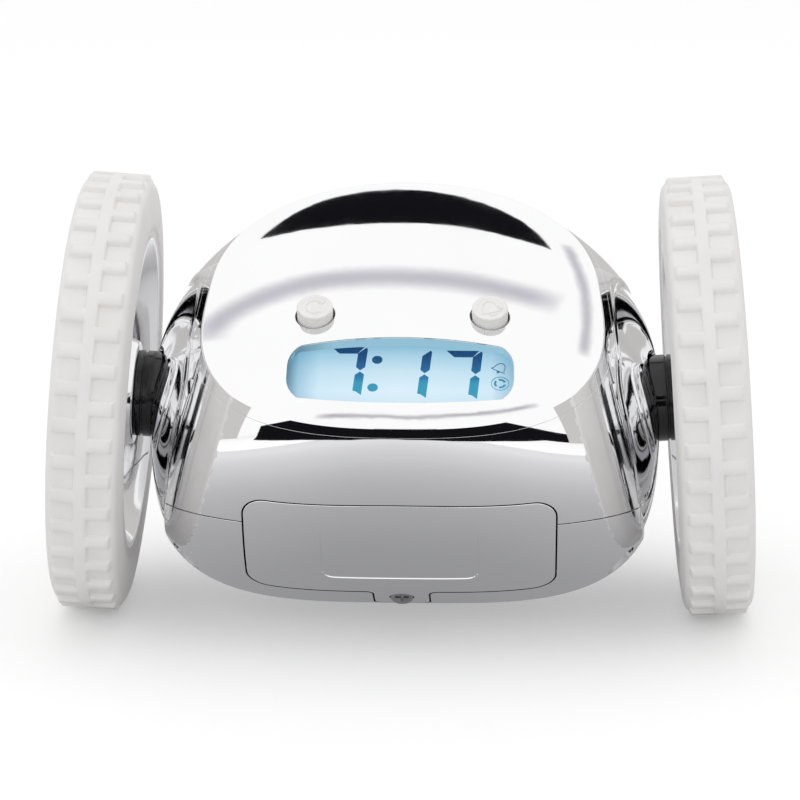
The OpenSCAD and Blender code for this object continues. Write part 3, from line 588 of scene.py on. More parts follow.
def noise(tree, scale, detail=2.0, stretch=(1, 1, 1)):
    """Noise over the object's own coordinates; scale is in cells to a metre"""
    place = add(tree, "TexCoord").outputs["Object"]
    mapped = add(tree, "Mapping", Vector=place, Scale=stretch).outputs["Vector"]
    return add(tree, "TexNoise", Vector=mapped, Scale=scale, Detail=detail).outputs["Fac"]


def spread(tree, value, low, high):
    """Maps the middle of a noise to a range"""
    node = add(tree, "MapRange", Value=value, From_Min=NOISE_LOW, From_Max=NOISE_HIGH,
               To_Min=low, To_Max=high)
    return node.outputs["Result"]


def coloured(tree, value, stops):
    """Colours along a value, from stops of a place and a colour"""
    ramp = add(tree, "ValToRGB", Fac=value)
    elements = ramp.color_ramp.elements
    while len(elements) < len(stops):
        elements.new(0.5)
    for element, (position, colour) in zip(elements, stops):
        element.position = position
        element.color = (*colour, 1)
    return ramp.outputs["Color"]


def surface(name, low, high, tone_scale, rough, relief_scale, relief, stretch=(1, 1, 1), **sockets):
    """A moulded, plated or machined finish: two close tones, uneven gloss and fine relief"""
    material, tree = new_material(name)
    tone = coloured(tree, noise(tree, tone_scale, 3.0, stretch), [(NOISE_LOW, low), (NOISE_HIGH, high)])
    gloss = spread(tree, noise(tree, tone_scale * 2.3, 2.0, stretch), *rough)
    grain = noise(tree, relief_scale, 2.0, stretch)
    bump = add(tree, "Bump", Strength=1.0, Distance=relief, Height=grain).outputs["Normal"]
    shader = add(tree, "BsdfPrincipled", Base_Color=tone, Roughness=gloss, Normal=bump, **sockets)
    add(tree, "OutputMaterial", Surface=shader.outputs["BSDF"])
    return material


def glass_material():
    material, tree = new_material("window")
    shader = add(tree, "BsdfPrincipled", Base_Color=(0.96, 0.985, 1.0, 1), Transmission_Weight=1.0,
                 IOR=1.08, Roughness=spread(tree, noise(tree, 300), 0.0, 0.03))
    add(tree, "OutputMaterial", Surface=shader.outputs["BSDF"])
    return material


def display_place(tree):
    """Coordinates of the display: X across, Y up the glass, in millimetres"""
    world = TO_WORLD @ Matrix(DISPLAY)
    place = add(tree, "TexCoord").outputs["Object"]
    mapping = add(tree, "Mapping", Vector=place, Location=world.translation,
                  Rotation=world.to_euler(), Scale=(MM, MM, MM))
    mapping.vector_type = "TEXTURE"
    split = add(tree, "SeparateXYZ", mapping.outputs["Vector"])
    return split.outputs["X"], split.outputs["Y"]


def ramp_of(tree, value, low, high, stops):
    """Colours along a value; a stop is a share of the way from low to high, and a colour"""
    share = add(tree, "MapRange", Value=value, From_Min=low, From_Max=high)
    return coloured(tree, share.outputs["Result"], stops)


def multiplied(tree, a, b):
    node = tree.nodes.new("ShaderNodeMix")
    node.data_type = "RGBA"
    node.blend_type = "MULTIPLY"
    node.inputs["Factor"].default_value = 1.0
    tree.links.new(a, node.inputs["A"])
    tree.links.new(b, node.inputs["B"])
    return node.outputs["Result"]


def srgb(text):
    """A linear colour from its six hex digits"""
    parts = [int(text[i:i + 2], 16) / 255 for i in (0, 2, 4)]
    return tuple(c / 12.92 if c <= 0.04045 else ((c + 0.055) / 1.055) ** 2.4 for c in parts)


def shades(*stops):
    """Stops of a ramp, from pairs of a place and a colour's hex digits"""
    return [(place, srgb(text)) for place, text in stops]


def lit_material(name, up_stops, across_stops, base, rough):
    """A backlit surface whose colour runs up and across the display; the display and its seal use the
    ramps to paint shade at their ends and edges
    """
    material, tree = new_material(name)
    x, y = display_place(tree)
    up = ramp_of(tree, y, -WINDOW_HALF_H, WINDOW_HALF_H, up_stops)
    across = ramp_of(tree, x, -WINDOW_HALF_W, WINDOW_HALF_W, across_stops)
    shader = add(tree, "BsdfPrincipled", Base_Color=(base, base, base, 1), Specular_IOR_Level=0.0,
                 Emission_Strength=1.0, Emission_Color=multiplied(tree, up, across),
                 Roughness=spread(tree, noise(tree, 900), *rough))
    add(tree, "OutputMaterial", Surface=shader.outputs["BSDF"])
    return material


CHROME = surface("chrome", (0.955, 0.955, 0.96), (0.975, 0.975, 0.98), 60, (0.02, 0.035), 160, 6e-6,
                 Metallic=1.0)
CHROME_HUB = surface("chrome_hub", (0.86, 0.86, 0.87), (0.92, 0.92, 0.93), 90, (0.05, 0.10), 400,
                     1e-5, Metallic=1.0)
RUBBER = surface("white_rubber", (0.85, 0.83, 0.815), (0.89, 0.875, 0.865), 120, (0.55, 0.72), 1800,
                 1.5e-5, Subsurface_Weight=0.05, Subsurface_Radius=(0.002, 0.0018, 0.0016))
BUTTON = surface("white_button", (0.85, 0.84, 0.825), (0.89, 0.88, 0.865), 260, (0.32, 0.45), 2600,
                 6e-6)
COLLAR = surface("dark_collar", (0.004, 0.004, 0.005), (0.010, 0.010, 0.012), 200, (0.06, 0.14),
                 900, 8e-6)
BLACK = surface("black_parts", (0.015, 0.015, 0.017), (0.03, 0.03, 0.032), 300, (0.4, 0.6), 1500,
                2e-5)
INNER = surface("inner_plastic", (0.50, 0.50, 0.47), (0.58, 0.58, 0.55), 150, (0.45, 0.6), 900,
                2e-5)
SLEEVE = surface("cell_sleeve", (0.50, 0.36, 0.10), (0.62, 0.46, 0.14), 180, (0.22, 0.35), 700,
                 8e-6, Metallic=0.6)
NICKEL = surface("contact_metal", (0.60, 0.58, 0.53), (0.70, 0.68, 0.62), 220, (0.2, 0.35), 900,
                 1e-5, (1, 6, 1), Metallic=1.0)
SCREW = surface("screw_steel", (0.42, 0.42, 0.44), (0.56, 0.56, 0.58), 400, (0.25, 0.4), 1500,
                1e-5, Metallic=1.0)
STEEL = surface("steel", (0.48, 0.49, 0.51), (0.60, 0.61, 0.63), 220, (0.22, 0.36), 800, 1e-5,
                (1, 8, 8), Metallic=1.0)
BRASS = surface("brass", (0.55, 0.38, 0.13), (0.68, 0.50, 0.20), 350, (0.3, 0.45), 1600, 2e-5,
                Metallic=1.0)
GEAR = surface("gear_plastic", (0.72, 0.70, 0.62), (0.78, 0.76, 0.69), 200, (0.35, 0.5), 1200,
               1e-5)
BOARD = surface("board", (0.01, 0.08, 0.02), (0.02, 0.13, 0.035), 500, (0.3, 0.45), 2500, 1e-5)
STRIP = surface("contact_rubber", (0.03, 0.03, 0.032), (0.06, 0.06, 0.064), 600, (0.6, 0.8), 2500,
                2e-5)
DIFFUSER = surface("diffuser", (0.82, 0.86, 0.90), (0.90, 0.93, 0.96), 200, (0.3, 0.45), 900,
                   1e-5)
GLASS = glass_material()
# Painted shade: the display darkens at its left end, its right end and its top edge, as shade from the
# window's walls.
LCD = lit_material(
    "display",
    shades((0.0, "cfe6f1"), (0.3, "dff0fa"), (0.6, "cbe5f1"), (0.85, "a9d0e3"), (1.0, "86bbd2")),
    shades((0.0, "6f93a6"), (0.05, "c3dbe6"), (0.14, "f4fafd"), (0.5, "ffffff"), (0.9, "f4fafd"),
           (1.0, "b4cfdc")),
    0.02, (0.35, 0.5))
# Painted light and shade: the seal glows though it is no lamp, and darkens at its left end and towards
# its top as painted shade from the window's wall.
SEAL = lit_material(
    "window_seal",
    shades((0.0, "b4d6e5"), (0.6, "a3cadc"), (1.0, "93bfd3")),
    shades((0.0, "8a9aa2"), (0.2, "ffffff"), (1.0, "ffffff")),
    0.02, (0.4, 0.6))
INK = lit_material(
    "display_ink",
    shades((0.0, "3fa3c0"), (0.42, "3d9abb"), (0.5, "2f7fa8"), (0.62, "2a6a9c"), (0.8, "1d4f80"),
           (1.0, "173f68")),
    shades((0.0, "ffffff"), (1.0, "ffffff")),
    0.004, (0.35, 0.5))

def pair(*names):
    """The nodes of these names on the left and on the right"""
    return [f"{name}_{side}" for name in names for _, side in SIDES]


KEPT_NODES = {
    "diffuser": (DIFFUSER, ["backlight"]),
    "contact_rubber": (STRIP, ["contact_strips"]),
    "board": (BOARD, ["main_board", "rear_board"]),
    "black_parts": (BLACK, ["board_parts", "front_switches", "rear_switches", "speaker"]),
    "inner_plastic": (INNER, ["battery_tray", *pair("gearbox", "gearbox_cover")]),
    "cell_sleeve": (SLEEVE, ["battery_cells"]),
    "contact_metal": (NICKEL, ["battery_contacts"]),
    "screw_steel": (SCREW, ["case_screws", "board_screws", "gearbox_screws", "door_screw",
                            *pair("hub_screw")]),
    "steel": (STEEL, pair("idler_pin", "motor", "axle")),
    "brass": (BRASS, pair("bushes", "motor_pinion")),
    "gear_plastic": (GEAR, pair("idler_gear", "output_gear")),
}


def finish_kept_nodes():
    for slot, (material, names) in KEPT_NODES.items():
        for name in names:
            node = NODES[name]
            for place in node.material_slots:
                place.material = material


# ---- casing

STAR = np.array([0.0, 0.0, -SEAM_DROP])
COLUMNS = 420
THETA = np.radians(np.arange(COLUMNS) * 360 / COLUMNS)
SEAM_GAP = 0.14
EDGE_R = 0.16
TOP_GAP = 0.02
TOP_EDGE_R = 0.03


def seen(lift, off=0.0):
    """Barrel points seen from the middle of the seam's plane, one for each column"""
    lift = np.broadcast_to(lift, THETA.shape)
    flat = np.cos(lift)
    way = np.column_stack([flat * np.cos(THETA), flat * np.sin(THETA), np.sin(lift)])
    return on_barrel(STAR, way, off)


def rim_lift(off, depth):
    """Elevations at which the barrel meets the dome, "depth" under the face's skin"""
    low, high = np.zeros(COLUMNS), np.full(COLUMNS, math.pi / 2)
    for _ in range(40):
        middle = (low + high) / 2
        under = under_dome(seen(middle, off), depth)
        low = np.where(under, middle, low)
        high = np.where(under, high, middle)
    return low


def bent(before, corner, after):
    """Rings that round the corner between two walls"""
    return [before * (1 - t) ** 2 + corner * 2 * t * (1 - t) + after * t * t
            for t in np.linspace(0, 1, ROUND_STEPS)]


def rounded_edge(outer_row, edge, inner_edge, r=EDGE_R):
    """A rounded lip from a row on the skin, over the edge, towards the inner edge"""
    return bent(outer_row, edge, edge + unit(inner_edge - edge) * r)


def shell_skins(low, high_of):
    """Rings up the outer skin, with its two rounded lips, and down the inner skin"""
    reach = np.linalg.norm(seen(0.0) - STAR, axis=1)
    low = low / reach
    top_out, top_in = high_of(0.0), high_of(SHELL_WALL)
    outer_low, outer_high = low + EDGE_R / reach, top_out - TOP_EDGE_R / reach
    rise = [seen(outer_low + (outer_high - outer_low) * s) for s in np.linspace(0, 1, 54)]
    fall = [seen(low + (top_in - low) * s, SHELL_WALL) for s in np.linspace(1, 0, 16)]
    top = rounded_edge(rise[-1], seen(top_out), fall[0], TOP_EDGE_R)
    bottom = rounded_edge(rise[0], seen(low), fall[-1])
    return rise[1:-1] + top + fall + bottom[::-1]


def side_x(yz, off=0.0):
    """The barrel's end over points of the YZ plane"""
    points = np.column_stack([np.zeros(len(yz)), yz])
    way = np.broadcast_to([1.0, 0.0, 0.0], points.shape)
    return on_barrel(points, way, off)


INSET_TURNS = 360
INSET_CHORD = 19.9
INSET_CORNER = 14
INSET_ROLL = (1.2, 1.0, 0.75, 0.5, 0.25, 0.0, -0.25, -0.5, -0.75, -1.0, -1.2)
INSET_EDGE = INSET_ROLL[0]
INSET_T = 1.2
TOOL_REACH = 90.0
POLE_GAP = 0.012


def inset_outline(grow=0.0):
    """The side inset's outline, as points of the YZ plane: a circle cut off along the face"""
    a = np.radians(np.arange(INSET_TURNS) * 360 / INSET_TURNS)
    facing = math.radians(180 - FACE_TILT)
    chord = INSET_CHORD + INSET_DROP * math.sin(math.radians(FACE_TILT))
    to_chord = chord / np.maximum(np.cos(a - facing), 1e-3)
    reach = (INSET_R**-INSET_CORNER + to_chord**-float(INSET_CORNER)) ** (-1 / INSET_CORNER)
    outline = np.column_stack([reach * np.cos(a), reach * np.sin(a) - INSET_DROP])
    return grown(outline, grow)


def inset_rings(side):
    """Rings from the inset's rim on the skin, down its rolled step and in to the collar's hole"""
    hole = circle(COLLAR_R + 0.6, INSET_TURNS)
    rings = []
    for across in INSET_ROLL:
        share = (INSET_EDGE - across) / (2 * INSET_EDGE)
        depth = INSET_DEPTH * share**2 * (3 - 2 * share)
        rings.append((inset_outline(across), depth))
    inner = inset_outline(-INSET_EDGE)
    for share in np.linspace(0, 1, 26)[1:]:
        rings.append((inner * (1 - share) + hole * share, INSET_DEPTH))
    top = []
    for yz, depth in rings:
        points = side_x(yz)
        top.append(points - barrel_normal(points) * depth)
    under = [row - barrel_normal(side_x(yz)) * INSET_T for row, (yz, _) in zip(top, rings)]
    flip = np.array([side, 1.0, 1.0])
    return [row * flip for row in top + [under[-1], under[len(under) // 2], under[0]]]


def half_space(z, up):
    """A box over or under the level z"""
    low, high = (z, z + TOOL_REACH) if up else (z - TOOL_REACH, z)
    return prism(np.array(CORNERS) * TOOL_REACH, low, high)


def side_insets(name, keep_up):
    """Both side insets, as far as they belong to one shell"""
    made = []
    for side in (-1, 1):
        obj = new_object(name, *loft(inset_rings(side), closed=True))
        level = -SEAM_DROP + (SEAM_GAP / 2 if keep_up else -SEAM_GAP / 2)
        cut(obj, [half_space(level, not keep_up)])
        made.append(obj)
    return made


def along_x(outline, low, high):
    """A prism along X from an outline of the YZ plane"""
    points, faces = prism(outline, low, high)
    return points[:, [2, 0, 1]], faces


def inset_tools():
    reach = (8.0, 70.0)
    return [along_x(inset_outline(INSET_EDGE), *sorted(side * x for x in reach)) for side in (-1, 1)]


def door_tool():
    points, faces = prism(door_outline(DOOR_GAP), CELLS_REACH, BODY_R + 3)
    return placed(points, CELLS), faces


def rear_button_xs():
    return [(i - 1.5) * REAR_BUTTON_PITCH for i in range(4)]


def back_tools():
    """The holes of the setting buttons and the slots over the speaker"""
    tools = []
    for x in rear_button_xs():
        ring = circle(REAR_BUTTON_D / 2 + BUTTON_GAP, 64, (x, 0))
        points, faces = prism(ring, BODY_R - 8, BODY_R + 6)
        tools.append((placed(points, BACK), faces))
    for i in range(SLOT_COUNT):
        k = i - (SLOT_COUNT - 1) / 2
        slot = rounded(9 - 2 * abs(k), 0.8, 0.75, 0.5, (0, k * SLOT_PITCH - SPEAKER_DROP))
        points, faces = prism(slot, 30, 50)
        tools.append((points[:, [0, 2, 1]], faces))
    return tools


def make_upper_shell():
    rings = shell_skins(SEAM_GAP / 2, lambda off: rim_lift(off, PANEL_T + TOP_GAP))
    obj = new_object("upper_shell_skin", *loft(rings, closed=True))
    cut(obj, inset_tools() + [door_tool()] + back_tools())
    joined(obj, side_insets("upper_inset", True))
    barrel_shading(obj)
    return finished(obj, "casing", CHROME, ["upper_shell"])


def make_lower_shell():
    reach = np.linalg.norm(seen(0.0) - STAR, axis=1)
    start = -SEAM_GAP / 2 / reach
    steep = -math.pi / 2 + POLE_GAP
    skin = start - EDGE_R / reach
    rise = [seen(steep + (skin - steep) * s) for s in np.linspace(0, 1, 46)]
    fall = [seen(start + (steep - start) * s, SHELL_WALL) for s in np.linspace(0, 1, 16)]
    lip = rounded_edge(rise[-1], seen(start), fall[0])
    poles = [on_barrel(STAR, np.array([0.0, 0.0, -1.0]), off) for off in (0.0, SHELL_WALL)]
    obj = new_object("lower_shell_skin", *loft(rise[:-1] + lip + fall, start=poles[0], end=poles[1]))
    screw_holes = [prism(circle(SCREW_HEAD_D / 2 + 0.3, 40, (x, y)), -60, -10)
                   for x in (-CASE_SCREW_X, CASE_SCREW_X) for y in CASE_SCREW_YS]
    cut(obj, inset_tools() + [door_tool()] + screw_holes)
    joined(obj, side_insets("lower_inset", False))
    barrel_shading(obj)
    return finished(obj, "casing", CHROME, ["lower_shell"])


# ---- face panel, window and display

PANEL_ROLL_W = 0.55
PANEL_ROLL_DROP = 0.35
PANEL_TURNS = 480
WINDOW_EDGE_R = 0.22
HOLE_EDGE_R = 0.15
SEAL_GROWS = (-0.02, -0.07)
SEAL_SINK = 0.3
SEAL_LIFT = 0.15
LCD_T = 2.0
LCD_EDGE = 0.15
LCD_MARGIN = 0.3
LCD_POINTS = 104


def panel_reach(turns, depth):
    """Distance of the panel's edge from the face's crown, in each direction of the face"""
    a = np.radians(np.arange(turns) * 360 / turns)
    way = np.column_stack([np.cos(a), np.sin(a)])

    def inside(flat):
        z = dome_height(flat) - depth
        return barrel_value(placed(np.column_stack([flat, z]), FACE)) < 0

    return np.linalg.norm(last_inside(np.zeros(2), way, inside, 60.0), axis=1), way


def display_to_face(outline):
    """An outline of the display's plane, laid on the dome and seen in the face's frame"""
    z = -(outline**2).sum(1) / (2 * DOME_R)
    points = placed(np.column_stack([outline, z]), np.linalg.inv(FACE) @ DISPLAY)
    return points[:, :2]


def panel_rim(outline):
    """Rings that roll the panel's edge over from the dome's slope to the barrel's"""
    height = dome_height(outline)
    edge = placed(np.column_stack([outline, height - PANEL_ROLL_DROP]), FACE)
    barrel_way = barrel_normal(edge) @ FACE[:3, :3]
    dome_way = unit(np.column_stack([outline, height - FACE_REACH + DOME_R]))
    bend = np.arccos(np.clip((barrel_way * dome_way).sum(1), -1, 1))
    into = -outward(outline)
    rings = []
    for t in np.linspace(0, math.pi / 2, 2 * ROUND_STEPS):
        ring = outline + into * PANEL_ROLL_W * (1 - math.cos(t))
        lean = bend * (1 - t / (math.pi / 2))
        rings.append((ring, PANEL_ROLL_DROP * (1 - math.sin(t)), lean, unit(barrel_way[:, :2])))
    return rings


def make_face_panel():
    low_reach, _ = panel_reach(PANEL_TURNS, PANEL_T)
    reach, way = panel_reach(PANEL_TURNS, PANEL_ROLL_DROP)
    angles = np.radians(np.arange(PANEL_TURNS) * 360 / PANEL_TURNS)

    def under(xy):
        a = np.arctan2(xy[:, 1], xy[:, 0]) % (2 * math.pi)
        top = np.interp(a, angles, reach, period=2 * math.pi)
        low = np.interp(a, angles, low_reach, period=2 * math.pi)
        share = np.minimum(np.linalg.norm(xy, axis=1) / top, 1)
        flat = xy * (1 + (low / top - 1) * share**6)[:, None]
        return np.column_stack([flat, dome_height(flat) - PANEL_T])

    rims = [panel_rim(way * reach[:, None]),
            rim(display_to_face(window_outline()), WINDOW_EDGE_R, WINDOW_EDGE_R, True)]
    for x in (-FRONT_BUTTON_X, FRONT_BUTTON_X):
        hole = circle(FRONT_BUTTON_D / 2 + BUTTON_GAP, 72, (x, -FRONT_BUTTON_DROP))
        rims.append(rim(hole, HOLE_EDGE_R, HOLE_EDGE_R, True))
    obj = patch("face_panel_skin", dome_height, under, rims, 1.3, place=FACE, wall=barrel_normal)
    return finished(obj, "casing", CHROME, ["face_panel"])


def over_glass(xy):
    """Points straight under the face, just over the glass"""
    to_display = np.linalg.inv(DISPLAY) @ FACE
    height = np.full(len(xy), 20.0)
    for _ in range(4):
        z = placed(np.column_stack([xy, height]), to_display)[:, 2]
        height = height - (z - LCD_TOP - SEAL_LIFT) / to_display[2, 2]
    return np.column_stack([xy, height])


def make_window():
    outline = display_to_face(window_outline(-LENS_GAP))
    obj = patch("window_lens", lambda xy: dome_height(xy) - LENS_SINK, over_glass,
                [rim(outline, 0.12, 0.12)], 1.2, place=FACE)
    return finished(obj, "casing", GLASS, ["display_window"])


def make_gasket():
    """The seal round the lens, which hides the panel's plated edge; its material glows with painted
    light
    """
    rings = []
    for grow in SEAL_GROWS:
        outline = display_to_face(window_outline(grow))
        high = np.column_stack([outline, dome_height(outline) - SEAL_SINK])
        rings += [high, over_glass(outline)]
    rings[2:] = rings[:1:-1]
    obj = new_object("window_gasket", *loft(rings, closed=True), FACE)
    smooth(obj)
    return finished(obj, "casing", SEAL)


def make_lcd():
    """The glass, with the edge that its seal leaves"""
    rings = []
    low = LCD_TOP - LCD_T
    for inset, z in ((LCD_EDGE, low), (0.0, low + LCD_EDGE), (0.0, LCD_TOP - LCD_EDGE),
                     (LCD_EDGE, LCD_TOP), (2.2, LCD_TOP)):
        grow = LCD_MARGIN - inset
        edge = rounded(WINDOW_HALF_W + grow, WINDOW_HALF_H + grow, 3 - inset, 0.9)
        picked = np.round(np.linspace(0, len(edge), LCD_POINTS, endpoint=False)).astype(int)
        rings.append(np.column_stack([edge[picked], np.full(LCD_POINTS, z)]))
    made = loft(rings, start=[[0, 0, low]], end=[[0, 0, LCD_TOP]])
    obj = new_object("lcd_plate", *made, DISPLAY)
    weighted(obj)
    return finished(obj, "casing", LCD, ["lcd_glass"])


DIGIT_H = 12.1
DIGIT_STROKE = 1.75
DIGIT_SLANT = 0.08
INK_T = 0.06
INK_LIFT = 0.01


def digit_parts(at, with_top):
    """The strokes of a 1 or a 7, by its lower right corner: three bars with pointed ends"""
    h, s, gap = DIGIT_H, DIGIT_STROKE, 0.16
    half = h / 2
    lower = [(-s * 0.62, 0.9), (0, 0), (0, 0.1 + half - 1.0), (-s / 2, half - gap),
             (-s, half - 1.0), (-s, 1.1)]
    upper = [(-s / 2, half + gap), (0, half + 1.0), (0, h - 0.55), (-0.3, h - 0.15),
             (-s, h - s * 0.9), (-s, half + 1.0)]
    top = [(-0.75, h), (-6.9, h), (-5.3, h - s * 0.93), (-s * 1.05, h - s * 0.93)]
    bars = [lower, upper] + ([top] if with_top else [])
    return [[(at[0] + x + (y - half) * DIGIT_SLANT, at[1] + y) for x, y in bar] for bar in bars]


def ring_band(centre, r, width, first, last, count=32):
    """An open or closed band of a ring, as outlines of its short stretches"""
    a = np.radians(np.linspace(first, last, count + 1))
    inner, outer = r - width / 2, r + width / 2
    bands = []
    for here, there in zip(a[:-1], a[1:]):
        bands.append([(centre[0] + k * math.cos(t), centre[1] + k * math.sin(t))
                      for k, t in ((inner, here), (outer, here), (outer, there), (inner, there))])
    return bands


def stroke(line, width):
    """A drawn line as one outline"""
    line = np.asarray(line, float)
    along = np.gradient(line, axis=0)
    side = unit(np.column_stack([-along[:, 1], along[:, 0]])) * width / 2
    return np.vstack([line + side, (line - side)[::-1]])


BELL = [(-1.25, -0.75), (-0.95, -0.45), (-0.8, 0.2), (-0.55, 0.75), (0.0, 1.05), (0.55, 0.75),
        (0.8, 0.2), (0.95, -0.45), (1.25, -0.75), (0.6, -0.78), (-0.6, -0.78), (-1.22, -0.76)]


def turned(points, degrees, at, scale=1.0):
    c, s = math.cos(math.radians(degrees)), math.sin(math.radians(degrees))
    return [(at[0] + scale * (c * x - s * y), at[1] + scale * (s * x + c * y)) for x, y in points]


def make_display_ink():
    """The time and the two small signs, as the driven parts of the liquid crystal"""
    shapes = digit_parts((-6.8, -4.4), True) + digit_parts((5.4, -5.0), False)
    shapes += digit_parts((15.0, -5.1), True)
    shapes += [circle(1.0, 28, (-4.5, 4.5)), circle(1.0, 28, (-5.15, -2.5))]
    ring_at, bell_at = (18.8, -1.2), (18.75, 2.8)
    shapes += ring_band(ring_at, 1.65, 0.12, 0, 360)
    for start in (20, 140, 260):
        shapes += ring_band(ring_at, 0.95, 0.42, start, start + 86, 8)
    shapes.append(stroke(turned(BELL, -28, bell_at, 1.15), 0.14))
    shapes.append(circle(0.28, 16, (bell_at[0] - 0.35, bell_at[1] - 1.1)))
    points, faces = [], []
    for shape in shapes:
        made, sides = prism(np.asarray(shape, float), LCD_TOP + INK_LIFT, LCD_TOP + INK_LIFT + INK_T)
        faces += [[i + sum(map(len, points)) for i in side] for side in sides]
        points.append(made)
    obj = new_object("display_digits", np.vstack(points), faces, DISPLAY)
    return finished(obj, "casing", INK)


# ---- battery door

def make_battery_door():
    height = height_over(CELLS)
    inner = height_over(CELLS, off=SHELL_WALL)
    outline = door_outline()
    recess = rounded(DOOR_HALF_W * 0.507, DOOR_HALF_H * 0.555, 2.5, 0.6)
    screw = circle(SCREW_HEAD_D / 2 + 0.2, 56, (0, -DOOR_SCREW_AT))
    rims = [rim(outline, DOOR_EDGE_R, DOOR_EDGE_R), rim(screw, 0.2, 0.2, True)]
    obj = patch("battery_door_skin", height, lambda xy: np.column_stack([xy, inner(xy)]), rims,
                1.1, [(recess, DOOR_RECESS, DOOR_EDGE_R)], CELLS)
    return finished(obj, "battery_door", CHROME, ["battery_door"])


# ---- turned pieces

def softened(profile, r):
    """A closed profile whose corners are rounded; a corner's own radius may stand third"""
    corners = [(np.array(p[:2], float), p[2] if len(p) > 2 else r) for p in profile]
    rows = []
    for i, (here, own) in enumerate(corners):
        before, after = corners[i - 1][0], corners[(i + 1) % len(corners)][0]
        back, on = before - here, after - here
        room = 0.45 * min(np.linalg.norm(back), np.linalg.norm(on))
        k = min(own, room)
        if k < 1e-4:
            rows.append(here[None])
            continue
        a, b = here + unit(back) * k, here + unit(on) * k
        t = np.linspace(0, 1, 6)[:, None]
        rows.append(a * (1 - t) ** 2 + here * 2 * t * (1 - t) + b * t * t)
    return np.vstack(rows)


def lathe(profile, turns=160):
    """A ring or a solid turned about Z from (radius, height) points"""
    a = np.radians(np.arange(turns) * 360 / turns)
    rows = []
    tips = [None, None]
    body = profile
    if profile[0][0] < 1e-6:
        tips[0] = [[0, 0, profile[0][1]]]
        body = body[1:]
    if profile[-1][0] < 1e-6:
        tips[1] = [[0, 0, profile[-1][1]]]
        body = body[:-1]
    for r, z in body:
        rows.append(np.column_stack([r * np.cos(a), r * np.sin(a), np.full(turns, z)]))
    return loft(rows, closed=tips[0] is None, start=tips[0], end=tips[1])


def open_softened(profile, r):
    """As softened, for a profile that starts and ends on the axis"""
    whole = softened(profile, r)
    on_axis = np.where(whole[:, 0] < 1e-6)[0]
    return whole[on_axis[0]:on_axis[-1] + 1]


# ---- buttons

def dome_skin(x, y):
    return float(dome_height(np.array([[x, y]]))[0])


def swept(line, r, turns=8):
    """A round bead along a line in the XY plane"""
    line = np.asarray(line, float)
    along = unit(np.gradient(line, axis=0))
    side = np.column_stack([-along[:, 1], along[:, 0], np.zeros(len(line))])
    middle = np.column_stack([line, np.zeros(len(line))])
    rings = []
    for a in np.arange(turns) * 2 * math.pi / turns:
        rings.append(middle + side * r * math.cos(a) + np.array([0, 0, r * math.sin(a)]))
    rows = np.stack(rings, axis=1)
    return loft(list(rows), start=middle[:1], end=middle[-1:])


def roll_sign():
    """A ring arrow, as lines"""
    ring = circle(1.75, 48)[4:42]
    tip = ring[0]
    return [ring, np.array([tip + [-0.95, 0.1], tip, tip + [0.35, 0.95]])]


def alarm_sign():
    """A bell, as lines"""
    bell = np.array(turned(BELL, 20, (0, 0.1), 1.8))
    clapper = np.array(turned([(-0.35, -0.95), (-0.2, -1.2), (0.2, -1.2), (0.35, -0.95)], 20,
                              (0, 0.1), 1.8))
    return [bell, clapper]


def make_front_button(name, side, sign):
    """A cap with a raised brim, and its sign in raised lines"""
    r = FRONT_BUTTON_D / 2
    x, y = side * FRONT_BUTTON_X, -FRONT_BUTTON_DROP
    top = dome_skin(x, y) + FRONT_BUTTON_RISE
    low = dome_skin(x, y) - PANEL_T - BUTTON_TRAVEL - 1.6
    low_top = low + 1.0
    profile = [(0, low), (r + 0.85, low), (r + 0.85, low_top), (r, low_top), (r, top, 0.55),
               (r - 0.85, top, 0.2), (r - 1.05, top - 0.14, 0.15), (0, top - 0.14)]
    place = FACE @ shift(x, y, 0)
    obj = new_object(name + "_cap", *lathe(open_softened(profile, 0.2), 96), place)
    beads = []
    for line in sign:
        beads.append(new_object(name, *swept(line, 0.17), place @ shift(0, 0, top - 0.12)))
    joined(obj, beads)
    weighted(obj, 40)
    return finished(obj, name, BUTTON, [name])


def make_rear_button(name, x):
    """A flat cap with a dished top"""
    r = REAR_BUTTON_D / 2
    skin = float(height_over(BACK)(np.array([[x, 0.0]]))[0])
    top = skin + REAR_BUTTON_RISE
    low = skin - 5.2
    profile = [(0, low), (r, low), (r, top, 0.5), (r - 0.9, top, 0.3), (r - 1.5, top - 0.22, 0.4),
               (0, top - 0.22)]
    obj = new_object(name + "_cap", *lathe(open_softened(profile, 0.2), 96), BACK @ shift(x, 0, 0))
    weighted(obj, 40)
    return finished(obj, name, BUTTON, [name])


def make_buttons():
    make_front_button("roll_button", -1, roll_sign())
    make_front_button("alarm_button", 1, alarm_sign())
    names = ("hour_button", "minute_button", "time_button", "snooze_button")
    for name, x in zip(names, rear_button_xs()):
        make_rear_button(name, x)


# ---- wheels

def rise(share):
    """From 0 at a lug's foot to 1 on its top, steep first"""
    return np.sin(np.clip(share, 0, 1) * math.pi / 2)


LUG_FOOT = 0.42
LUG_END = 0.55
SHOULDER_R = 2.6
RIM_T = 2.6


def lug_angles():
    """Angles round the tyre that follow both rows of lugs, and each row's lug height there"""
    pitch = 2 * math.pi / LUG_COUNT
    half, foot = LUG_W / 2 / WHEEL_R, LUG_FOOT / WHEEL_R
    own = [-half - foot, -half - foot * 0.7, -half - foot * 0.35, -half, 0.0,
           half, half + foot * 0.35, half + foot * 0.7, half + foot]
    angles = sorted(own + [a + pitch / 2 for a in own])
    angles = np.concatenate([np.array(angles) + i * pitch for i in range(LUG_COUNT)])
    heights = []
    for turn_by in (pitch / 2, 0.0):
        off = np.abs((angles - turn_by + pitch / 2) % pitch - pitch / 2)
        heights.append(rise((half + foot - off) / foot))
    return angles, heights


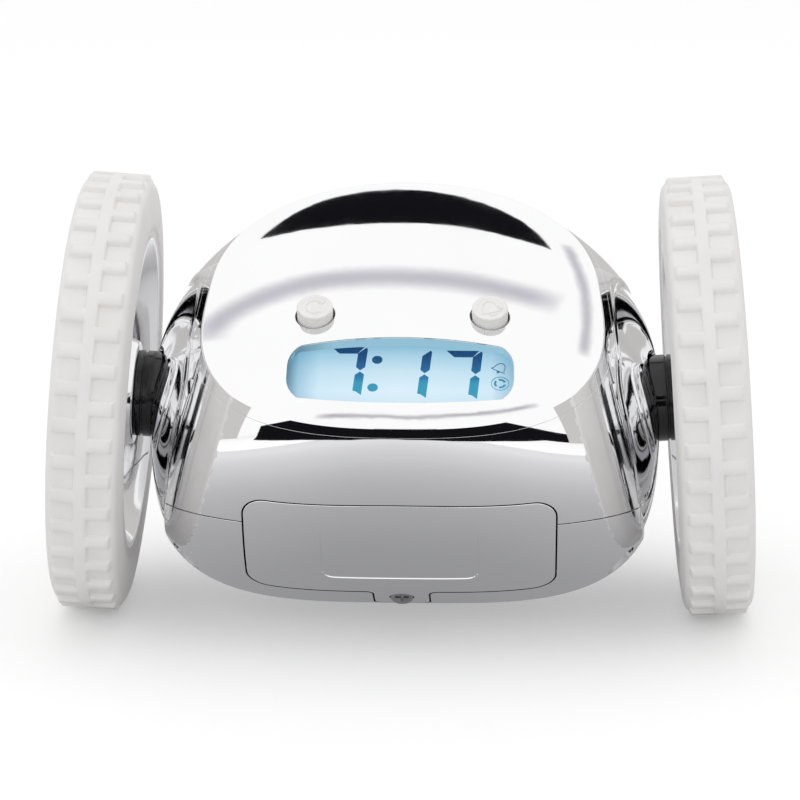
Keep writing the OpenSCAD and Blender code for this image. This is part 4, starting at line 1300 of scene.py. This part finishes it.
def tyre_section():
    """Points across the tyre as (place along the axle, radius), from one bead to the other"""
    low, edge, side = WHEEL_R - TREAD_DEPTH, TREAD_HALF_W, TYRE_HALF_W
    wall_top = low - SHOULDER_R
    half = [(RIB_W / 2 * k, low) for k in (0.0, 0.5, 1.0, 1.1, 1.22, 1.4)]
    half += [(w, low) for w in (2.0, 3.0, 4.0, 4.8, edge)]
    for t in np.radians(np.linspace(90, 0, 12)[1:]):
        half.append((edge + (TYRE_BULGE - edge) * math.cos(t), wall_top + SHOULDER_R * math.sin(t)))
    half += [((TYRE_BULGE + side) / 2, 37.5), (side - 0.05, 35.0), (side - 0.06, 33.4),
             (side - 0.12, 32.7), (side - 0.3, 32.35), (HUB_HALF_W, 32.1), (HUB_HALF_W, 31.6),
             (HUB_HALF_W - 0.1, RIM_R)]
    return [(-w, r) for w, r in half[:0:-1]] + half


def tread_height(across, rows):
    """How far the tread stands over its pockets at one place across the tyre"""
    rib = rise((RIB_W / 2 * 1.4 - abs(across)) / (RIB_W / 2 * 0.4))
    reach = rise((TREAD_HALF_W + LUG_END - abs(across)) / LUG_END)
    lugs = rows[0] if across < 0 else rows[1]
    return TREAD_DEPTH * np.maximum(rib, lugs * reach)


def make_tyre(side, name):
    angles, rows = lug_angles()
    across_w = TREAD_HALF_W + LUG_END
    rings = []
    for across, r in tyre_section():
        lift = tread_height(across, rows) if abs(across) < across_w and r > WHEEL_R - 2 else 0
        reach = r + lift * np.ones_like(angles)
        a = angles - math.pi / 2
        rings.append(np.column_stack([np.full(len(a), across), reach * np.cos(a), reach * np.sin(a)]))
    obj = new_object("tread_" + name, *loft(rings, closed=True), wheel_frame(side))
    smooth(obj, 50)
    return finished(obj, "wheel_" + name, RUBBER, ["tyre_" + name])


def hub_profile():
    """(radius, place along the axle) points of the hub, from its bore round the rim"""
    w = HUB_HALF_W
    rim_in = RIM_R - RIM_T
    return [
        (AXLE_R, 0.8 - w), (COLLAR_R + 1.5, 0.8 - w, 0.5), (COLLAR_R + 3, -2.4, 1.2),
        (rim_in - 4, -1.6, 1.2), (rim_in, 1.4 - w, 0.8), (RIM_R - 1, -w, 0.3), (RIM_R, -w, 0.1),
        (RIM_R, w, 0.1), (RIM_R - 1, w, 0.3), (rim_in, w - 1.4, 0.8), (rim_in - 3, 1.2, 1.5),
        (CAP_R + 4, 1.2, 1.2), (CAP_R + 1.6, w - 2.4, 0.4), (CAP_R, w - 2.4, 0.2), (CAP_R, 4, 0.1),
        (AXLE_R, 4, 0.1),
    ]


HUB_POCKETS = 12


def hub_tools(place):
    """Long pockets round the hub's inner side"""
    tools = []
    r = RIM_R - RIM_T - 5.5
    points, faces = prism(rounded(1.5, 3.1, 1.45, 0.4), -3.2, -1.0)
    for i in range(HUB_POCKETS):
        at = turn("Z", i * 360 / HUB_POCKETS) @ shift(r, 0, 0)
        tools.append((placed(points, place @ at), faces))
    return tools


def make_hub(side, name):
    place = wheel_frame(side) @ turn("Y", 90)
    obj = new_object("wheel_disc_" + name, *lathe(softened(hub_profile(), 0.3), 200), place)
    cut(obj, hub_tools(place))
    weighted(obj)
    return finished(obj, "wheel_" + name, CHROME_HUB, ["hub_" + name])


def make_hub_cap(side, name):
    w = HUB_HALF_W
    profile = [(0, 5.6), (4.2, 5.6), (4.8, 4.0), (CAP_R - 0.1, 4.0), (CAP_R - 0.1, w - 1.4, 0.6),
               (CAP_R - 1.4, w - 0.5, 0.8), (CAP_R - 4, w + 0.1, 1.5), (0, w + 0.3)]
    obj = new_object("wheel_cap_" + name, *lathe(open_softened(profile, 0.15), 120),
                     wheel_frame(side) @ turn("Y", 90))
    weighted(obj)
    return finished(obj, "wheel_" + name, CHROME_HUB, ["hub_cap_" + name])


def make_collar(side, name):
    """The dark collar, with one fine groove and the sleeve that reaches into the body"""
    low, high = -11.2, 0.8 - HUB_HALF_W
    groove = [(COLLAR_R, low + 3.4), (COLLAR_R - 0.3, low + 3.5), (COLLAR_R - 0.3, low + 3.8),
              (COLLAR_R, low + 3.9)]
    profile = [(AXLE_R, -21.1), (AXLE_R + 2, -21.1), (AXLE_R + 2, low), (COLLAR_R, low, 0.6)]
    profile += groove + [(COLLAR_R, high, 0.3), (AXLE_R, high)]
    obj = new_object("collar_ring_" + name, *lathe(softened(profile, 0.05), 120),
                     wheel_frame(side) @ turn("Y", 90))
    weighted(obj)
    return finished(obj, "wheel_" + name, COLLAR, ["collar_" + name])


def make_wheels():
    for side, name in SIDES:
        for make in (make_tyre, make_hub, make_hub_cap, make_collar):
            make(side, name)


# ---- studio

CAMERA_ELEVATION = 14.0
CAMERA_AZIMUTH = 2.0
CAMERA_FAR = 0.715
CAMERA_LENS = 163.4
CAMERA_SHIFT = (-0.0070, -0.0091)


def make_camera():
    data = bpy.data.cameras.new("camera")
    data.lens = CAMERA_LENS
    data.sensor_width = 36
    data.shift_x, data.shift_y = CAMERA_SHIFT
    camera = linked("camera", data)
    e, a = math.radians(CAMERA_ELEVATION), math.radians(CAMERA_AZIMUTH)
    back = Vector((math.sin(a) * math.cos(e), -math.cos(a) * math.cos(e), math.sin(e)))
    camera.location = Vector((0, 0, AXLE_Z * MM)) + back * CAMERA_FAR
    camera.rotation_mode = "QUATERNION"
    camera.rotation_quaternion = (-back).to_track_quat("-Z", "Y")
    bpy.context.scene.camera = camera


def seen_rays(tree):
    """1 for what the camera sees, also in metal and through glass"""
    path = add(tree, "LightPath")
    total = path.outputs["Is Camera Ray"]
    for kind in ("Is Glossy Ray", "Is Transmission Ray"):
        node = add(tree, "Math", total, path.outputs[kind])
        node.operation = "MAXIMUM"
        total = node.outputs[0]
    return total


FLOOR_ALBEDO = 0.82
FLOOR_GLOW = 0.26
FLOOR_REACH = 6.0
SKY_LIGHT = 0.80


def make_world():
    world = bpy.data.worlds.new("studio")
    bpy.context.scene.world = world
    world.use_nodes = True
    tree = world.node_tree
    tree.nodes.clear()
    level = add(tree, "MapRange", Value=seen_rays(tree), To_Min=SKY_LIGHT, To_Max=1.0)
    background = add(tree, "Background", Color=(1, 1, 1, 1), Strength=level.outputs["Result"])
    add(tree, "OutputWorld", Surface=background.outputs["Background"])


def staged(name, points, faces, material):
    mesh = bpy.data.meshes.new(name)
    mesh.from_pydata([tuple(p) for p in points], [], faces)
    mesh.materials.append(material)
    obj = linked(name, mesh)
    return obj


def card(name, points, material, faces=None):
    """A card that shows in metal and nowhere else"""
    obj = staged(name, points, faces or [list(range(len(points)))], material)
    obj.visible_camera = False
    obj.visible_diffuse = False
    obj.visible_transmission = False
    obj.visible_shadow = False
    obj.visible_volume_scatter = False
    return obj


def make_floor():
    material, tree = new_material("floor")
    matt = add(tree, "BsdfDiffuse", Color=(FLOOR_ALBEDO, FLOOR_ALBEDO, FLOOR_ALBEDO, 1))
    level = add(tree, "Math", seen_rays(tree), FLOOR_GLOW)
    level.operation = "MULTIPLY"
    glow = add(tree, "Emission", Strength=level.outputs[0])
    both = add(tree, "AddShader", matt.outputs[0], glow.outputs[0])
    add(tree, "OutputMaterial", Surface=both.outputs[0])
    points = [(x * FLOOR_REACH, y * FLOOR_REACH, 0) for x, y in CORNERS]
    staged("floor", points, [list(range(4))], material)


def card_material(name, shade, fade=None):
    """A card that glows evenly; fade is an attribute that thins it towards its edges"""
    material, tree = new_material(name)
    glow = add(tree, "Emission", Color=(*shade, 1)).outputs[0]
    if fade:
        mask = add(tree, "Attribute")
        mask.attribute_name = fade
        clear = add(tree, "BsdfTransparent").outputs[0]
        glow = add(tree, "MixShader", mask.outputs["Fac"], clear, glow).outputs[0]
    add(tree, "OutputMaterial", Surface=glow)
    return material


OVERHEAD = 1.5
OVERHEAD_STRETCH = (1.56, 1.50)
OVERHEAD_FROM_Y = -0.039


def overhead(slopes):
    """Points of a plane high above the face, from the slopes x/z and y/z of the rays that the
    face mirrors towards the camera"""
    across, along = OVERHEAD_STRETCH
    return [(x * across, y * along + OVERHEAD_FROM_Y, OVERHEAD) for x, y in slopes]


def ribbon(name, points, half_w, shade):
    """A soft-edged band along a line of the overhead plane"""
    line = np.asarray(points, float)
    along = unit(np.gradient(line[:, :2], axis=0))
    side = np.column_stack([-along[:, 1], along[:, 0], np.zeros(len(line))])
    rows, fades = [], []
    shares = np.linspace(-1, 1, 9)
    ends = np.sin(np.linspace(0, math.pi, len(line))) ** 0.5
    for k in shares:
        rows.append(line + side * half_w * k)
        fades.append((1 - k * k) ** 1.5 * np.minimum(ends * 2, 1))
    count = len(line)
    faces = []
    for i in range(len(shares) - 1):
        for j in range(count - 1):
            a = i * count + j
            faces.append((a, a + 1, a + count + 1, a + count))
    obj = card(name, np.vstack(rows), card_material(name, shade, "fade"), faces)
    fade = obj.data.attributes.new("fade", "FLOAT", "POINT")
    fade.data.foreach_set("value", np.concatenate(fades).astype(np.float32))


def curve_through(points, count=48):
    """A smooth line through a few points"""
    points = np.asarray(points, float)
    spans = np.concatenate([[0], np.cumsum(np.linalg.norm(np.diff(points, axis=0), axis=1))])
    t = np.linspace(0, spans[-1], count)
    line = np.column_stack([np.interp(t, spans, points[:, k]) for k in range(2)])
    for _ in range(30):
        line[1:-1] = (line[:-2] + 2 * line[1:-1] + line[2:]) / 4
    return line


def make_cards():
    dark = card_material("dark_card", (0.006, 0.006, 0.008))
    low = curve_through([(-0.251, 0.576), (-0.17, 0.586), (-0.06, 0.584), (0.03, 0.577),
                         (0.11, 0.554), (0.176, 0.524)])
    high = curve_through([(0.176, 0.524), (0.16, 0.585), (0.10, 0.664), (0.03, 0.722),
                          (-0.055, 0.746), (-0.13, 0.734), (-0.19, 0.690), (-0.225, 0.640),
                          (-0.251, 0.576)])
    crescent = overhead(low.tolist() + high[1:-1].tolist())
    card("overhead_dark", crescent, dark)
    streak = [(-0.332, 0.27), (-0.330, 0.33), (-0.290, 0.350), (-0.250, 0.360), (-0.220, 0.380),
              (-0.180, 0.396), (-0.125, 0.394), (-0.02, 0.386), (0.066, 0.380), (0.135, 0.357),
              (0.2, 0.346)]
    grey = (0.55, 0.54, 0.59)
    ribbon("overhead_streak", overhead(curve_through(streak)), 0.042 * OVERHEAD, grey)
    right = [(0.196, 0.56), (0.201, 0.537), (0.222, 0.455), (0.232, 0.396), (0.239, 0.30),
             (0.238, 0.212)]
    ribbon("overhead_side", overhead(curve_through(right)), 0.013 * OVERHEAD, (0.55, 0.54, 0.58))
    front = [(-0.164, 0.029), (0.0, 0.013), (0.11, 0.035), (0.181, 0.072)]
    ribbon("overhead_front", overhead(curve_through(front)), 0.007 * OVERHEAD, (0.45, 0.44, 0.48))
    front_cards(dark)
    make_side_cards()
    make_painted_floor_shadow()


def front_cards(dark):
    """The dark floor and wall before the clock, and the camera's own shadow"""
    level, left, right, far, top = 5e-4, -1.42, 2.2, -1.3, 0.18
    near = [(-0.666, -0.594), (-0.197, -0.361), (-0.06, -0.262), (0.0, -0.24), (0.052, -0.27),
            (0.229, -0.43), (1.3, far)]
    opening = [(left, far, level)] + [(x, y, level) for x, y in near]
    card("front_dark_floor", opening, dark)
    wall = [(left, far, 0), (right, far, 0), (right, far, top), (left, far, top)]
    card("front_dark_wall", wall, dark)
    half_w, half_h, away, height = 0.2, 0.14, -1.5, 0.42
    card("camera_dark", [(x * half_w, away, height + z * half_h) for x, z in CORNERS], dark)


SIDE_CARD_X = 1.7
SIDE_CARD_Y = (-1.1, 2.6)
SIDE_CARD_TOP = 0.95


def make_side_cards():
    """Grey walls to the left, the right and behind, which the body's ends show"""
    grey = card_material("side_card", (0.58, 0.572, 0.56))
    x, (front, back), top = SIDE_CARD_X, SIDE_CARD_Y, SIDE_CARD_TOP
    for name, (a, b) in {"side_card_left": ((-x, front), (-x, back)),
                         "side_card_right": ((x, front), (x, back)),
                         "back_card": ((-x, back), (x, back))}.items():
        wall = [(*a, 1e-3), (*b, 1e-3), (*b, top), (*a, top)]
        card(name, wall, grey)


SHADOW_CARD_R = 0.34
SHADOW_FADE = 0.25
SHADOW_CARD_LEVEL = 3e-4


def make_painted_floor_shadow():
    """Painted shadow of the body on the floor, which only the chrome shows: a grey that is darker the
    closer it lies to the body
    """
    material, tree = new_material("floor_shade")
    length = add(tree, "VectorMath", add(tree, "TexCoord").outputs["Object"])
    length.operation = "LENGTH"
    # Painted shadow: the grey darkens towards the body, where its shadow falls on the floor.
    stops = [(0.0, (0.27, 0.27, 0.28)), (0.15, (0.32, 0.32, 0.33)), (0.32, (0.44, 0.44, 0.455)),
             (0.55, (0.60, 0.60, 0.61)), (1.0, (0.78, 0.78, 0.79))]
    shade = ramp_of(tree, length.outputs["Value"], 0.0, SHADOW_FADE, stops)
    glow = add(tree, "Emission", Color=shade)
    add(tree, "OutputMaterial", Surface=glow.outputs[0])
    card("painted_floor_shadow", [(x, y, SHADOW_CARD_LEVEL) for x, y in circle(SHADOW_CARD_R, 96)], material)


LAMPS_AIM_Z = 0.04


def make_lamp(name, at, size, power):
    data = bpy.data.lights.new(name, "AREA")
    data.shape = "SQUARE"
    data.size = size
    data.energy = power
    lamp = linked(name, data)
    lamp.location = at
    lamp.rotation_mode = "QUATERNION"
    lamp.rotation_quaternion = (Vector(at) - Vector((0, 0, LAMPS_AIM_Z))).to_track_quat("Z", "Y")
    lamp.visible_glossy = False
    lamp.visible_camera = False


def make_studio():
    make_camera()
    make_world()
    make_floor()
    make_cards()
    make_lamp("top_lamp", (0.0, 0.1, 1.3), 1.2, 2.6)
    make_lamp("front_lamp", (-0.3, -1.2, 0.7), 0.9, 1.3)
    bpy.context.scene.view_settings.view_transform = "Standard"


# ---- the whole clock

make_studio()
make_upper_shell()
make_lower_shell()
make_face_panel()
make_window()
make_gasket()
make_lcd()
make_display_ink()
make_battery_door()
make_buttons()
make_wheels()
finish_kept_nodes()
